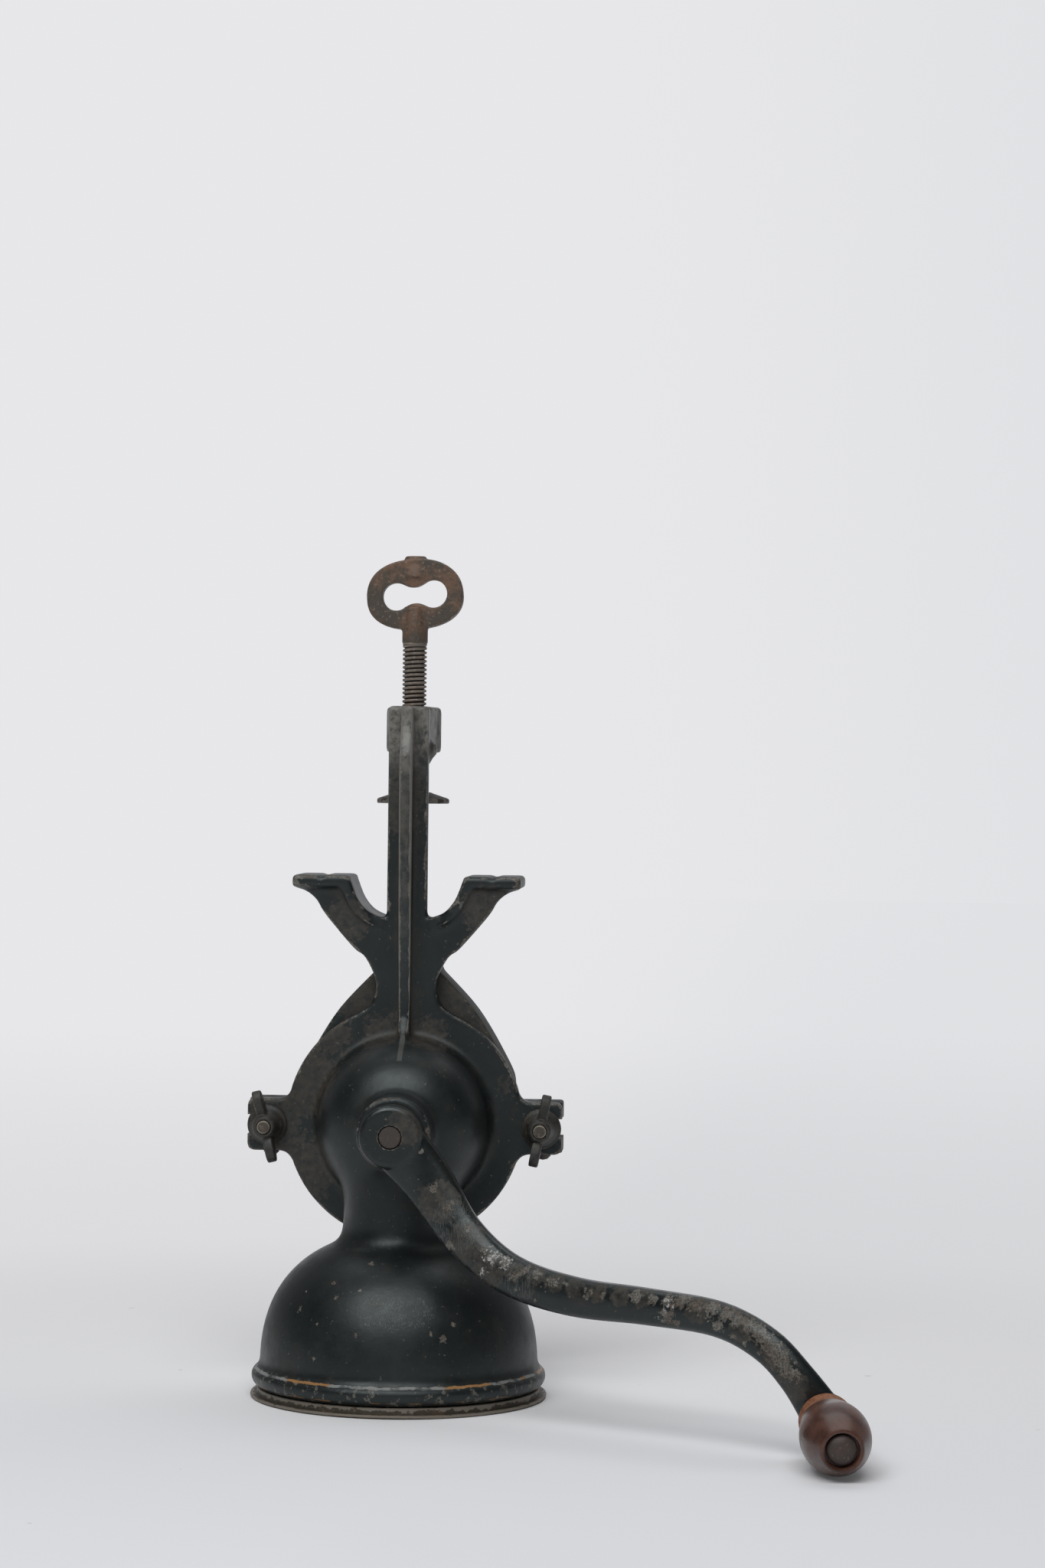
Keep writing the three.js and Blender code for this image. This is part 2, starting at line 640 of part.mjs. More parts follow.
// Outline of the rear casing, or of its inside when drawn inwards by a wall
function casingOutline(wall, top) {
  const radius = CASING_RADIUS - wall;
  const flank = FLANK_RADIUS - wall;
  const rise = CHUTE_RISE;
  const side = smooth([
    [radius * Math.cos(0.1), SHAFT_Z + radius * Math.sin(0.1)],
    [flank - 5, SHAFT_Z + 14],
    [flank - 8.4, SHAFT_Z + 23],
    [flank - 19.1, SHAFT_Z + 40.8],
    [CHUTE_HALF + 1.2 - wall * 0.8, SHAFT_Z + rise - 3.6],
  ], 10);
  return polygon(mirrored([
    ...arc(radius, -Math.PI / 2, 0, 12, 0, SHAFT_Z),
    ...side,
    new THREE.Vector2(CHUTE_HALF - wall * 0.8, top),
  ]));
}

function rearEar(side) {
  const [x0, x1] = side > 0 ? [CASING_RADIUS - 6, EAR_REACH] : [-EAR_REACH, 6 - CASING_RADIUS];
  const top = EAR_Z + EAR_HALF;
  const rear = CASING_FRONT + REAR_EAR_THICK;
  const ear = block(x0, x1, CASING_FRONT, rear, EAR_BOTTOM, top);
  const pin = rodZ(PIN_RADIUS + GAP, EAR_BOTTOM - 1, top + 1, side * BOLT_X, PIN_Y, 16);
  const slotInner = BOLT_X - BOLT_EYE_RADIUS - 1;
  const slot = earSlot(side, CASING_FRONT - 1, rear + 1, slotInner);
  return cut(ear, [pin, slot]);
}

function rearCasing() {
  const mouthZ = SHAFT_Z + CHUTE_RISE;
  const back = CASING_REAR + 3;
  const shell = plate(casingOutline(0, mouthZ), CASING_FRONT - 4, CASING_REAR, 2.5);
  const ahead = block(-BEYOND, BEYOND, CASING_FRONT - 9, CASING_FRONT, 0, mouthZ + 9);
  const bellTop = block(-BEYOND, BEYOND, CASING_FRONT - 9, BEYOND, 0, BELL_BACK_Z + GAP);
  const lip = rodY(FLANGE_RADIUS - LIP_INSET, CASING_FRONT, CASING_FRONT + LIP_THICK, 0, SHAFT_Z, ROUND)
    .subtract(bellTop);
  const trimmed = shell.subtract(ahead).add(lip);
  const boss = turnedY([
    [0, CASING_INSIDE - 1],
    [REAR_BOSS_RADIUS + 5, CASING_INSIDE - 1],
    [REAR_BOSS_RADIUS + 5, CASING_REAR - 0.2],
    [REAR_BOSS_RADIUS + 1, back - 1],
    [REAR_BOSS_RADIUS, back + 1],
    [REAR_BOSS_RADIUS, CASING_REAR + REAR_BOSS_LENGTH - 1],
    [REAR_BOSS_RADIUS - 1, CASING_REAR + REAR_BOSS_LENGTH],
    [0, CASING_REAR + REAR_BOSS_LENGTH],
  ], 32, 0, SHAFT_Z);
  const inner = rodY(INNER_BOSS_RADIUS, CASING_INSIDE - INNER_BOSS_LENGTH, CASING_INSIDE + 1, 0, SHAFT_Z);
  const room = plate(casingOutline(CASING_WALL, mouthZ + 3), CASING_FRONT - 5, CASING_INSIDE);
  const frontWall = cut(
    block(-BEYOND, BEYOND, CASING_FRONT - 6, CASING_FRONT + CHUTE_FRONT_WALL, SHAFT_Z, mouthZ + 9),
    [rodY(FLANGE_RADIUS - CASING_WALL, CASING_FRONT - 7, CASING_FRONT + 9, 0, SHAFT_Z, ROUND)],
  );
  const hollowed = trimmed.subtract(room.subtract(frontWall));
  const bore = rodY(REAR_BORE, CASING_FRONT, CASING_REAR + 40, 0, SHAFT_Z);
  return union([hollowed, rearEar(1), rearEar(-1), boss, inner]).subtract(bore);
}

// Teeth are V grooves that run out across the ring, leaning the same way
function grooves(inner, outer, face, depth) {
  const length = outer - inner + 6;
  return Array.from({ length: BURR_TEETH }, (_, i) => {
    const groove = new THREE.CylinderGeometry(1, 1, length, 3, 1);
    groove.rotateZ(Math.PI / 2).scale(1, depth / 0.75, 1.5);
    groove.rotateY(THREE.MathUtils.degToRad(12));
    groove.translate((inner + outer) / 2, face, 0);
    return solid(groove.rotateY((2 * Math.PI * i) / BURR_TEETH));
  });
}

function burrScrewSpots() {
  return BURR_SCREW_ANGLES.map((angle) => [
    BURR_SCREW_CIRCLE * Math.cos(angle),
    BURR_SCREW_CIRCLE * Math.sin(angle),
  ]);
}

// Local to the shaft's axis, with the seat face at y = 0 and the teeth behind it
function fixedBurr() {
  const ring = turnedY([
    [BURR_BORE, 0],
    [BURR_RADIUS, 0],
    [BURR_RADIUS, BURR_THICK],
    [BURR_BORE + 4, BURR_THICK],
    [BURR_BORE, BURR_THICK - 2.2],
    [BURR_BORE, 0],
  ]);
  const holes = burrScrewSpots().flatMap(([x, z]) => [
    rodY(BURR_SCREW_RADIUS + GAP, -1, BURR_THICK + 1, x, z, 12),
    rodY(BURR_SCREW_HEAD + GAP, BURR_THICK - 3.2, BURR_THICK + 1, x, z, 12),
  ]);
  return cut(ring, [...grooves(BURR_BORE, BURR_RADIUS, BURR_THICK + 0.15, TOOTH_DEPTH), ...holes]);
}

function fixedBurrScrew() {
  return turnedY([
    [0, -6.5],
    [BURR_SCREW_RADIUS, -6],
    [BURR_SCREW_RADIUS, BURR_THICK - 3.2 + GAP],
    [BURR_SCREW_HEAD, BURR_THICK - 3.2 + GAP],
    [BURR_SCREW_HEAD, BURR_THICK - 1.4],
    [0, BURR_THICK - 1.4],
  ], 12).subtract(block(-4, 4, BURR_THICK - 2.1, BURR_THICK, -0.4, 0.4));
}

// Local to the shaft's axis, with the tips of the teeth at y = 0
function rotatingBurr() {
  const disc = turnedY([
    [0, 1.5],
    [BURR_BORE - 4, 1.5],
    [BURR_BORE, 0],
    [BURR_RADIUS - 0.5, 0],
    [BURR_RADIUS - 0.5, BURR_THICK - 1.5],
    [BURR_RADIUS - 3, BURR_THICK],
    [0, BURR_THICK],
  ]);
  const half = SQUARE / 2 + GAP;
  const square = block(-half, half, -1, BURR_THICK + 1, -half, half);
  return cut(disc, [square, ...grooves(BURR_BORE, BURR_RADIUS, -0.15, TOOTH_DEPTH)]);
}

// Local to the shaft's axis, at its place along Y
function mainShaft() {
  const squareFront = TURNING_BURR_Y - 0.5;
  const squareRear = TURNING_BURR_Y + BURR_THICK + 0.5;
  const front = turnedY([
    [0, HUB_FRONT + 0.2],
    [CRANK_END_RADIUS - 0.3, HUB_FRONT + 0.2],
    [CRANK_END_RADIUS, HUB_FRONT + 0.5],
    [CRANK_END_RADIUS, HUB_REAR + GAP],
    [JOURNAL_RADIUS, HUB_REAR + GAP],
    [JOURNAL_RADIUS, squareFront],
    [0, squareFront],
  ], SMALL_ROUND);
  const half = SQUARE / 2;
  const square = block(-half, half, squareFront - 1, squareRear, -half, half);
  const tail = rodY(TAIL_RADIUS - 0.1, squareRear - 0.4, TAIL_END);
  const pinHole = rodZ(WORM_PIN_RADIUS + GAP, -20, 20, 0, WORM_FRONT + 4, 12);
  return union([front, square, tail]).subtract(pinHole);
}

// The feed worm: a sleeve on the shaft with one blade wound round it
function feedWorm() {
  const rear = TURNING_BURR_Y - 2;
  const length = rear - WORM_FRONT;
  const core = rodY(WORM_CORE, WORM_FRONT, rear, 0, 0, 24);
  const steps = Math.round((length / WORM_PITCH) * 16);
  const rings = [];
  for (let i = 0; i <= steps; i += 1) {
    const y = WORM_FRONT + WORM_BLADE / 2 + ((length - WORM_BLADE) * i) / steps;
    const angle = (2 * Math.PI * (y - WORM_FRONT)) / WORM_PITCH;
    const point = (r, shift) => new THREE.Vector3(r * Math.cos(angle), y + shift, -r * Math.sin(angle));
    const [root, edge] = [WORM_CORE - 1, WORM_RADIUS];
    rings.push([
      point(root, -WORM_BLADE / 2),
      point(edge, -WORM_BLADE / 3),
      point(edge, WORM_BLADE / 3),
      point(root, WORM_BLADE / 2),
    ]);
  }
  const holes = [
    rodY(JOURNAL_RADIUS + GAP, WORM_FRONT - 1, rear + 1),
    rodZ(WORM_PIN_RADIUS + GAP, -20, 20, 0, WORM_FRONT + 4, 12),
  ];
  return cut(core.add(loft(rings)), holes);
}

function adjustingScrew() {
  const rear = ADJUST_TIP + ADJUST_THREAD;
  const thread = threadZ(ADJUST_RADIUS, 0.7, ADJUST_PITCH, 0, ADJUST_THREAD)
    .rotate([-90, 0, 0]).translate([0, ADJUST_TIP, 0]);
  const collar = rodY(ADJUST_COLLAR_RADIUS, rear - 1, rear - 1 + ADJUST_COLLAR);
  const half = ADJUST_WING_THICK / 2;
  const end = rear + ADJUST_WING_HEIGHT;
  const side = [
    [rear, ADJUST_COLLAR_RADIUS - 1],
    [rear + 2, ADJUST_WING - 1],
    [end - 2, ADJUST_WING],
    [end, ADJUST_WING - 3],
  ];
  const other = side.map(([y, z]) => [y, -z]).reverse();
  const wing = rail([...side, [rear + ADJUST_COLLAR, 0], ...other], -half, half);
  return union([thread, collar, wing]);
}

// Local to the bolt's axis, which runs along Y; the eye is at the pin
function swingBolt() {
  const end = NUT_Y - NUT_HEIGHT - BOLT_PROUD;
  const shank = turnedY([
    [0, end],
    [BOLT_RADIUS - 0.6, end],
    [BOLT_RADIUS, end + 0.6],
    [BOLT_RADIUS, PIN_Y],
    [0, PIN_Y],
  ], 16);
  const half = SLOT_WIDTH / 2 - GAP;
  const eye = rodZ(BOLT_EYE_RADIUS, -half, half, 0, PIN_Y, 20);
  const hole = rodZ(PIN_RADIUS + GAP, -half - 1, half + 1, 0, PIN_Y, 16);
  return cut(shank.add(eye), [hole]);
}

// The pin's round head hangs below the ear, its other end is flush with the top
function swingPin() {
  const under = EAR_BOTTOM - EAR_Z - GAP;
  return turnedZ([
    [0, under - PIN_HEAD],
    [PIN_HEAD_RADIUS * 0.55, under - 0.85 * PIN_HEAD],
    [PIN_HEAD_RADIUS * 0.9, under - 0.45 * PIN_HEAD],
    [PIN_HEAD_RADIUS, under],
    [PIN_RADIUS, under],
    [PIN_RADIUS, EAR_HALF - 0.4],
    [0, EAR_HALF - 0.4],
  ], 16);
}

// Domed washer, with its flat face at y = 0 and its crown towards the nut
function wingWasher() {
  const bore = BOLT_RADIUS + GAP;
  return turnedY([
    [bore, 0],
    [WASHER_RADIUS, 0],
    [WASHER_RADIUS, -0.8],
    [WASHER_RADIUS - 1.6, -WASHER_THICK + 0.3],
    [NUT_BASE_RADIUS - 1.5, -WASHER_THICK],
    [bore, -WASHER_THICK],
    [bore, 0],
  ], 24);
}

// Wing nut with its base at y = 0 and its wings up and down
function wingNut() {
  const bore = BOLT_RADIUS + GAP;
  const hub = turnedY([
    [bore, 0],
    [NUT_BASE_RADIUS, 0],
    [NUT_BASE_RADIUS, -0.9],
    [NUT_TOP_RADIUS + 0.8, -3],
    [NUT_TOP_RADIUS, -NUT_HEIGHT + 1],
    [NUT_TOP_RADIUS - 0.8, -NUT_HEIGHT],
    [bore, -NUT_HEIGHT],
    [bore, 0],
  ], SMALL_ROUND);
  const outline = [
    [-0.9, 0],
    [-0.9, NUT_BASE_RADIUS],
    [-2, WING_REACH - 2],
    [-4, WING_REACH - 0.4],
    [-6.6, WING_REACH],
    [-8.6, WING_REACH - 1.4],
    [-NUT_HEIGHT, WING_REACH - 4],
    [-NUT_HEIGHT + 1.6, NUT_TOP_RADIUS],
    [-NUT_HEIGHT + 1.6, 0],
  ];
  const wings = [1, -1].map((side) => {
    const wing = outline.map(([y, z]) => [y, side * z]);
    return rail(wing, -WING_THICK / 2, WING_THICK / 2);
  });
  return union([hub, ...wings]).subtract(rodY(bore, -NUT_HEIGHT - 1, 1, 0, 0, SMALL_ROUND));
}

// Crank in its own frame: the hub's axis is Y and the knob lies towards +X
function armLine() {
  const middle = (HUB_REAR + HUB_FRONT) / 2;
  const reach = CRANK_RADIUS;
  const forward = EYE_FORWARD;
  return new THREE.CatmullRomCurve3([
    [0, 0, 0],
    [0.11, -0.04, 0.015],
    [0.225, -0.094, 0.08],
    [0.345, -0.11, 0.21],
    [0.475, -0.074, 0.4],
    [0.61, -0.005, 0.62],
    [0.735, 0.053, 0.82],
    [0.835, 0.063, 0.945],
    [0.92, 0.039, 1.005],
    [1, 0, 1],
  ].map(([u, v, y]) => new THREE.Vector3(u * reach, middle - y * forward, v * reach)));
}

const ARM_WIDTHS = [20.5, 18, 15.2, 14.3, 13.6, 12.5, 12, 12, 12.4, 15];
const ARM_THICKNESS = [9, 8.6, 8.8, 9.2, 9.4, 9.2, 8.8, 8, 7, 5.4];

function along(values, t) {
  const place = t * (values.length - 1);
  const i = Math.min(Math.floor(place), values.length - 2);
  return THREE.MathUtils.lerp(values[i], values[i + 1], place - i);
}

// Half-round front, flat back
function armSection(centre, tangent, width, thick) {
  const across = new THREE.Vector3(-tangent.z, 0, tangent.x).normalize();
  const front = new THREE.Vector3().crossVectors(tangent, across).normalize();
  if (front.y > 0) front.negate();
  const ring = [];
  for (let k = 0; k < 12; k += 1) {
    const angle = (2 * Math.PI * (k + 0.5)) / 12;
    const [c, s] = [Math.cos(angle), Math.sin(angle)];
    const power = s > 0 ? 0.85 : 0.45;
    const w = Math.sign(c) * Math.abs(c) ** power * (width / 2);
    const n = Math.sign(s) * Math.abs(s) ** power * (thick / 2);
    ring.push(centre.clone().addScaledVector(across, w).addScaledVector(front, n));
  }
  return ring;
}

function crankArm() {
  const line = armLine();
  const steps = 26;
  const rings = [];
  for (let i = 0; i <= steps; i += 1) {
    const t = i / steps;
    const width = along(ARM_WIDTHS, t);
    const thick = along(ARM_THICKNESS, t);
    rings.push(armSection(line.getPoint(t), line.getTangent(t), width, thick));
  }
  const hub = turnedY([
    [0, HUB_FRONT],
    [HUB_RADIUS - 1.6, HUB_FRONT],
    [HUB_RADIUS, HUB_FRONT + 1.6],
    [HUB_RADIUS, HUB_REAR - 0.8],
    [HUB_RADIUS - 0.8, HUB_REAR],
    [0, HUB_REAR],
  ], 32);
  const tilt = THREE.MathUtils.radToDeg(KNOB_TILT);
  const toEye = (form) => form.rotate([0, 0, 180 + tilt]).translate([CRANK_RADIUS, EYE_Y, 0]);
  const eye = toEye(turnedY([
    [0, -EYE_THICK / 2],
    [EYE_RADIUS - 1, -EYE_THICK / 2],
    [EYE_RADIUS, -EYE_THICK / 2 + 1],
    [EYE_RADIUS, EYE_THICK / 2 - 1],
    [EYE_RADIUS - 1, EYE_THICK / 2],
    [0, EYE_THICK / 2],
  ], 28));
  const clearFront = toEye(rodY(EYE_RADIUS + 3, EYE_THICK / 2, EYE_THICK + 20));
  const clearRear = toEye(rodY(EYE_RADIUS - 2, -EYE_THICK - 20, -EYE_THICK / 2));
  const behindHub = rodY(HUB_RADIUS + 8, HUB_REAR, HUB_REAR + 9);
  const rivetHole = toEye(rodY(RIVET_RADIUS + GAP, -20, 20, 0, 0, 16));
  const shaftHole = rodY(CRANK_END_RADIUS + GAP, HUB_FRONT - 9, HUB_REAR + 9);
  const whole = union([loft(rings), hub, eye]);
  return cut(whole, [clearFront, clearRear, behindHub, rivetHole, shaftHole]);
}

// Knob round its own Y axis, which starts at the middle of the crank's eye
const KNOB_START = EYE_THICK / 2 + GAP;

function knobProfile() {
  const widest = KNOB_START + 0.6 * KNOB_LENGTH;
  const end = KNOB_START + KNOB_LENGTH;
  return smooth([
    [KNOB_BASE_RADIUS, KNOB_START],
    [KNOB_BASE_RADIUS - 0.2, KNOB_START + 4],
    [KNOB_BASE_RADIUS + 1.2, KNOB_START + 10],
    [KNOB_RADIUS - 0.5, widest - 7],
    [KNOB_RADIUS, widest],
    [KNOB_RADIUS - 1.1, widest + 8],
    [KNOB_END_RADIUS, end],
  ], 14).map((p) => [p.x, p.y]);
}

function crankKnob() {
  const end = KNOB_START + KNOB_LENGTH;
  const bore = RIVET_RADIUS + GAP;
  const recess = RIVET_HEAD_RADIUS + 0.6;
  return turnedY([
    [bore, KNOB_START],
    ...knobProfile(),
    [recess, end - 0.3],
    [recess, end - KNOB_RECESS],
    [bore, end - KNOB_RECESS],
    [bore, KNOB_START],
  ], 28);
}

function knobRivet() {
  const seat = KNOB_START + KNOB_LENGTH - KNOB_RECESS + GAP;
  const back = -EYE_THICK / 2 - GAP;
  return turnedY([
    [0, back - 2],
    [RIVET_RADIUS + 0.6, back - 1.6],
    [RIVET_RADIUS + 1.7, back],
    [RIVET_RADIUS, back],
    [RIVET_RADIUS, seat],
    [RIVET_HEAD_RADIUS, seat],
    [RIVET_HEAD_RADIUS, seat + 0.45 * RIVET_HEAD],
    [RIVET_HEAD_RADIUS * 0.8, seat + 0.8 * RIVET_HEAD],
    [RIVET_HEAD_RADIUS * 0.4, seat + RIVET_HEAD],
    [0, seat + RIVET_HEAD],
  ], SMALL_ROUND);
}

// The crank hangs until its knob lies on the table
function restAngle() {
  const lowest = (angle) => knobProfile().reduce((low, [r, s]) => {
    const lean = Math.sin(KNOB_TILT) * Math.sin(angle);
    const centre = SHAFT_Z - CRANK_RADIUS * Math.sin(angle) - s * lean;
    return Math.min(low, centre - r * Math.sqrt(1 - lean * lean));
  }, Infinity);
  let [above, below] = [0, Math.PI / 2];
  for (let i = 0; i < 40; i += 1) {
    const middle = (above + below) / 2;
    if (lowest(middle) > 0) above = middle;
    else below = middle;
  }
  return above;
}

// Clamp pieces round Z, with the plate's face at z = 0
function pressurePlate() {
  const hole = TIP_RADIUS + GAP;
  const pocket = TIP_FOOT_RADIUS + GAP;
  const floor = TIP_FOOT + GAP;
  return turnedZ([
    [pocket, 0],
    [PRESS_RADIUS - 0.3, 0],
    [PRESS_RADIUS, PRESS_RIM],
    [TIP_FOOT_RADIUS + 3, PRESS_HEIGHT - 0.3],
    [TIP_FOOT_RADIUS + 2, PRESS_HEIGHT],
    [hole, PRESS_HEIGHT],
    [hole, floor],
    [pocket, floor],
    [pocket, 0],
  ], 32);
}

function keyHead(base) {
  const middle = base + KEY_HEIGHT / 2;
  const outer = Array.from({ length: 32 }, (_, i) => {
    const angle = (2 * Math.PI * i) / 32;
    const [c, s] = [Math.cos(angle), Math.sin(angle)];
    const x = Math.sign(c) * Math.abs(c) ** 0.86 * KEY_HALF_WIDTH;
    return [x, middle + Math.sign(s) * Math.abs(s) ** 0.86 * (KEY_HEIGHT / 2)];
  });
  const lobe = THREE.MathUtils.degToRad(115);
  const right = arc(KEY_LOBE, -lobe, lobe, 9, KEY_LOBE_X, middle + 0.7);
  const left = right.map((p) => new THREE.Vector2(-p.x, 2 * (middle + 0.7) - p.y));
  const shape = polygon(outer);
  shape.holes.push(new THREE.Path([
    ...right,
    new THREE.Vector2(0, middle + 0.7 + KEY_WAIST),
    ...left,
    new THREE.Vector2(0, middle + 0.7 - KEY_WAIST),
  ]));
  const ring = plate(shape, -KEY_THICK / 2, KEY_THICK / 2, 1.2)
    .translate([0, 0, -middle]).rotate([0, -KEY_SKEW, 0]).translate([0, 0, middle]);
  const nub = turnedZ([
    [0, base + KEY_HEIGHT - 4],
    [4.4, base + KEY_HEIGHT - 4],
    [3.6, base + KEY_HEIGHT],
    [3.4, base + KEY_HEIGHT + KEY_NUB - 0.6],
    [2.8, base + KEY_HEIGHT + KEY_NUB],
    [0, base + KEY_HEIGHT + KEY_NUB],
  ], 16);
  const holeBottom = middle + 0.7 - KEY_WAIST;
  const stem = turnedZ([
    [0, base - 3],
    [SHANK_RADIUS, base - 3],
    [SHANK_RADIUS, base + 2],
    [SHANK_RADIUS - 0.8, holeBottom - 1.2],
    [0, holeBottom - 1.2],
  ], SMALL_ROUND);
  return union([ring, nub, stem]);
}

function clampScrew() {
  const shoulder = PRESS_HEIGHT + GAP;
  const threadTop = shoulder + THREAD_LENGTH;
  const base = threadTop + SHANK_LENGTH;
  const tip = turnedZ([
    [0, 0.2],
    [TIP_FOOT_RADIUS, 0.2],
    [TIP_FOOT_RADIUS, TIP_FOOT],
    [TIP_RADIUS, TIP_FOOT],
    [TIP_RADIUS, shoulder + 1],
    [0, shoulder + 1],
  ], 16);
  const thread = threadZ(SCREW_RADIUS, THREAD_DEPTH, SCREW_PITCH, shoulder, threadTop);
  const shank = rodZ(SHANK_RADIUS, threadTop - 0.2, base + 1);
  return union([tip, thread, shank, keyHead(base)]);
}

// Materials
function finish(color, roughness, metalness) {
  return new THREE.MeshStandardMaterial({ color, roughness, metalness });
}

const blackPaint = () => finish(0x24292b, 0.5, 0.3);
const wornPaint = () => finish(0x2e3030, 0.55, 0.4);
const rustySteel = () => finish(0x5a4c3e, 0.6, 0.7);
const darkSteel = () => finish(0x45423d, 0.5, 0.8);
const bareIron = () => finish(0x6d6a66, 0.45, 0.85);
const varnishedWood = () => finish(0x54302a, 0.35, 0);

function piece(name, body, material) {
  const made = body.getMesh();
  const geometry = new THREE.BufferGeometry();
  geometry.setAttribute('position', new THREE.BufferAttribute(made.vertProperties, 3));
  geometry.setIndex(new THREE.BufferAttribute(made.triVerts, 1));
  geometry.computeVertexNormals();
  const mesh = new THREE.Mesh(geometry, material);
  mesh.name = name;
  return mesh;
}

function placed(group, x, y, z) {
  group.position.set(x, y, z);
  return group;
}

// The crank turns with its rivet; the knob turns on the rivet
function crank() {
  const group = new THREE.Group();
  group.add(piece('crank_arm', crankArm(), wornPaint()));
  const handle = placed(new THREE.Group(), CRANK_RADIUS, EYE_Y, 0);
  handle.rotation.z = Math.PI + KNOB_TILT;
  handle.add(piece('crank_knob', crankKnob(), varnishedWood()));
  handle.add(piece('knob_rivet', knobRivet(), darkSteel()));
  group.add(handle);
  group.rotation.y = restAngle();
  return group;
}

function shaftLine() {
  const group = placed(new THREE.Group(), 0, 0, SHAFT_Z);
  group.add(piece('main_shaft', mainShaft(), darkSteel()));
  group.add(piece('feed_worm', feedWorm(), bareIron()));
  const pin = rodZ(WORM_PIN_RADIUS, 0.5 - WORM_CORE, WORM_CORE - 0.5, 0, WORM_FRONT + 4, 12);
  group.add(piece('worm_pin', pin, darkSteel()));
  const fixed = placed(new THREE.Group(), 0, FIXED_BURR_Y, 0);
  fixed.add(piece('fixed_burr', fixedBurr(), bareIron()));
  burrScrewSpots().forEach(([x, z], i) => {
    const screw = piece(`fixed_burr_screw_${i + 1}`, fixedBurrScrew(), darkSteel());
    fixed.add(placed(screw, x, 0, z));
  });
  const turning = piece('rotating_burr', rotatingBurr(), bareIron());
  group.add(fixed, placed(turning, 0, TURNING_BURR_Y, 0));
  const ball = solid(new THREE.SphereGeometry(BALL_RADIUS, 16, 10));
  group.add(placed(piece('thrust_ball', ball, bareIron()), 0, BALL_Y, 0));
  group.add(piece('adjusting_screw', adjustingScrew(), darkSteel()));
  group.add(crank());
  return group;
}

function clampBolt(side, name, turn) {
  const group = placed(new THREE.Group(), side * BOLT_X, 0, EAR_Z);
  group.add(piece(`swing_bolt_${name}`, swingBolt(), darkSteel()));
  group.add(placed(piece(`swing_pin_${name}`, swingPin(), darkSteel()), 0, PIN_Y, 0));
  group.add(placed(piece(`wing_washer_${name}`, wingWasher(), wornPaint()), 0, WASHER_Y, 0));
  const nut = placed(piece(`wing_nut_${name}`, wingNut(), wornPaint()), 0, NUT_Y, 0);
  nut.rotation.y = THREE.MathUtils.degToRad(turn);
  group.add(nut);
  return group;
}

function tableClamp() {
  const group = placed(new THREE.Group(), 0, SCREW_Y, PRESS_Z);
  group.add(piece('pressure_plate', pressurePlate(), rustySteel()));
  group.add(piece('clamp_screw', clampScrew(), rustySteel()));
  return group;
}

const grinder = new THREE.Group();
grinder.add(
  piece('hopper_lid', hopperLid(), rustySteel()),
  piece('hopper_casting', hopperCasting(), blackPaint()),
  piece('rear_casing', rearCasing(), blackPaint()),
  shaftLine(),
  clampBolt(-1, 'left', NUT_TURN_LEFT),
  clampBolt(1, 'right', NUT_TURN_RIGHT),
  tableClamp(),
);

export default grinder;
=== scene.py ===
import json
import math
from contextlib import contextmanager

import bpy
import numpy as np
from mathutils import Matrix, Vector


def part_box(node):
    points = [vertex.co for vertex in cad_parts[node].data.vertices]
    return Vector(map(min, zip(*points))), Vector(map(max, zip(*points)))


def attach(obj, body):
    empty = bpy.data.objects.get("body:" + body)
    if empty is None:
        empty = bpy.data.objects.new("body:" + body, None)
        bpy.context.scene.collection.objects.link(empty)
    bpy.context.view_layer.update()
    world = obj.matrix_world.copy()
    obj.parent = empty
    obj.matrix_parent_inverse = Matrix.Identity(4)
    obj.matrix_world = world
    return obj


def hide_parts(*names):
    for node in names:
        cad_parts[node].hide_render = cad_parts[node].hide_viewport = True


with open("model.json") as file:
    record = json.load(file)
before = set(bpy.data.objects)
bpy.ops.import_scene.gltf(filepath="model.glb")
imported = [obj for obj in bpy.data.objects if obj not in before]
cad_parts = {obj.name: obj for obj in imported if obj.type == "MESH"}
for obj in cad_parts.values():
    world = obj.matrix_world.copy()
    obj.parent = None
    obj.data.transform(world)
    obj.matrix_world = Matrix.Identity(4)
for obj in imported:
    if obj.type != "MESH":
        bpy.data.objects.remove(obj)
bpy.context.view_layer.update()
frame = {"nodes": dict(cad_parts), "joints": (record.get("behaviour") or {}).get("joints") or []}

# The hopper casting is one piece of grey cast iron: the bell for the beans, the dome over the
# worm, the slotted front plate, the forked arms with their table pads and the clamp bar.
# It was cast in sand, so its joins are rounded, and then dipped in black enamel.
MM = 0.001
SHAFT_Z = 98.0
ON_SHAFT = (0, 0, SHAFT_Z)
SCREW_Y = 34.0
PAD_Z, PAD_OUT = 189.1, 42.2
SCREW_BOSS_TOP = 251.6
BAR_HALF = 7.35
NECK_HALF = 17.5
FLANGE_RADIUS = 43.7
EAR_Z, EAR_HALF, SLOT_HALF = 96.7, 9.6, 3.6
EAR_REACH = 58.1


def only(*pieces):
    bpy.ops.object.select_all(action="DESELECT")
    for piece in pieces:
        piece.select_set(True)
    bpy.context.view_layer.objects.active = pieces[0]
    return pieces[0]


@contextmanager
def editing(form):
    """Edit mode on one form, with all of it selected."""
    only(form)
    bpy.ops.object.mode_set(mode="EDIT")
    bpy.ops.mesh.select_all(action="SELECT")
    yield
    bpy.ops.object.mode_set(mode="OBJECT")


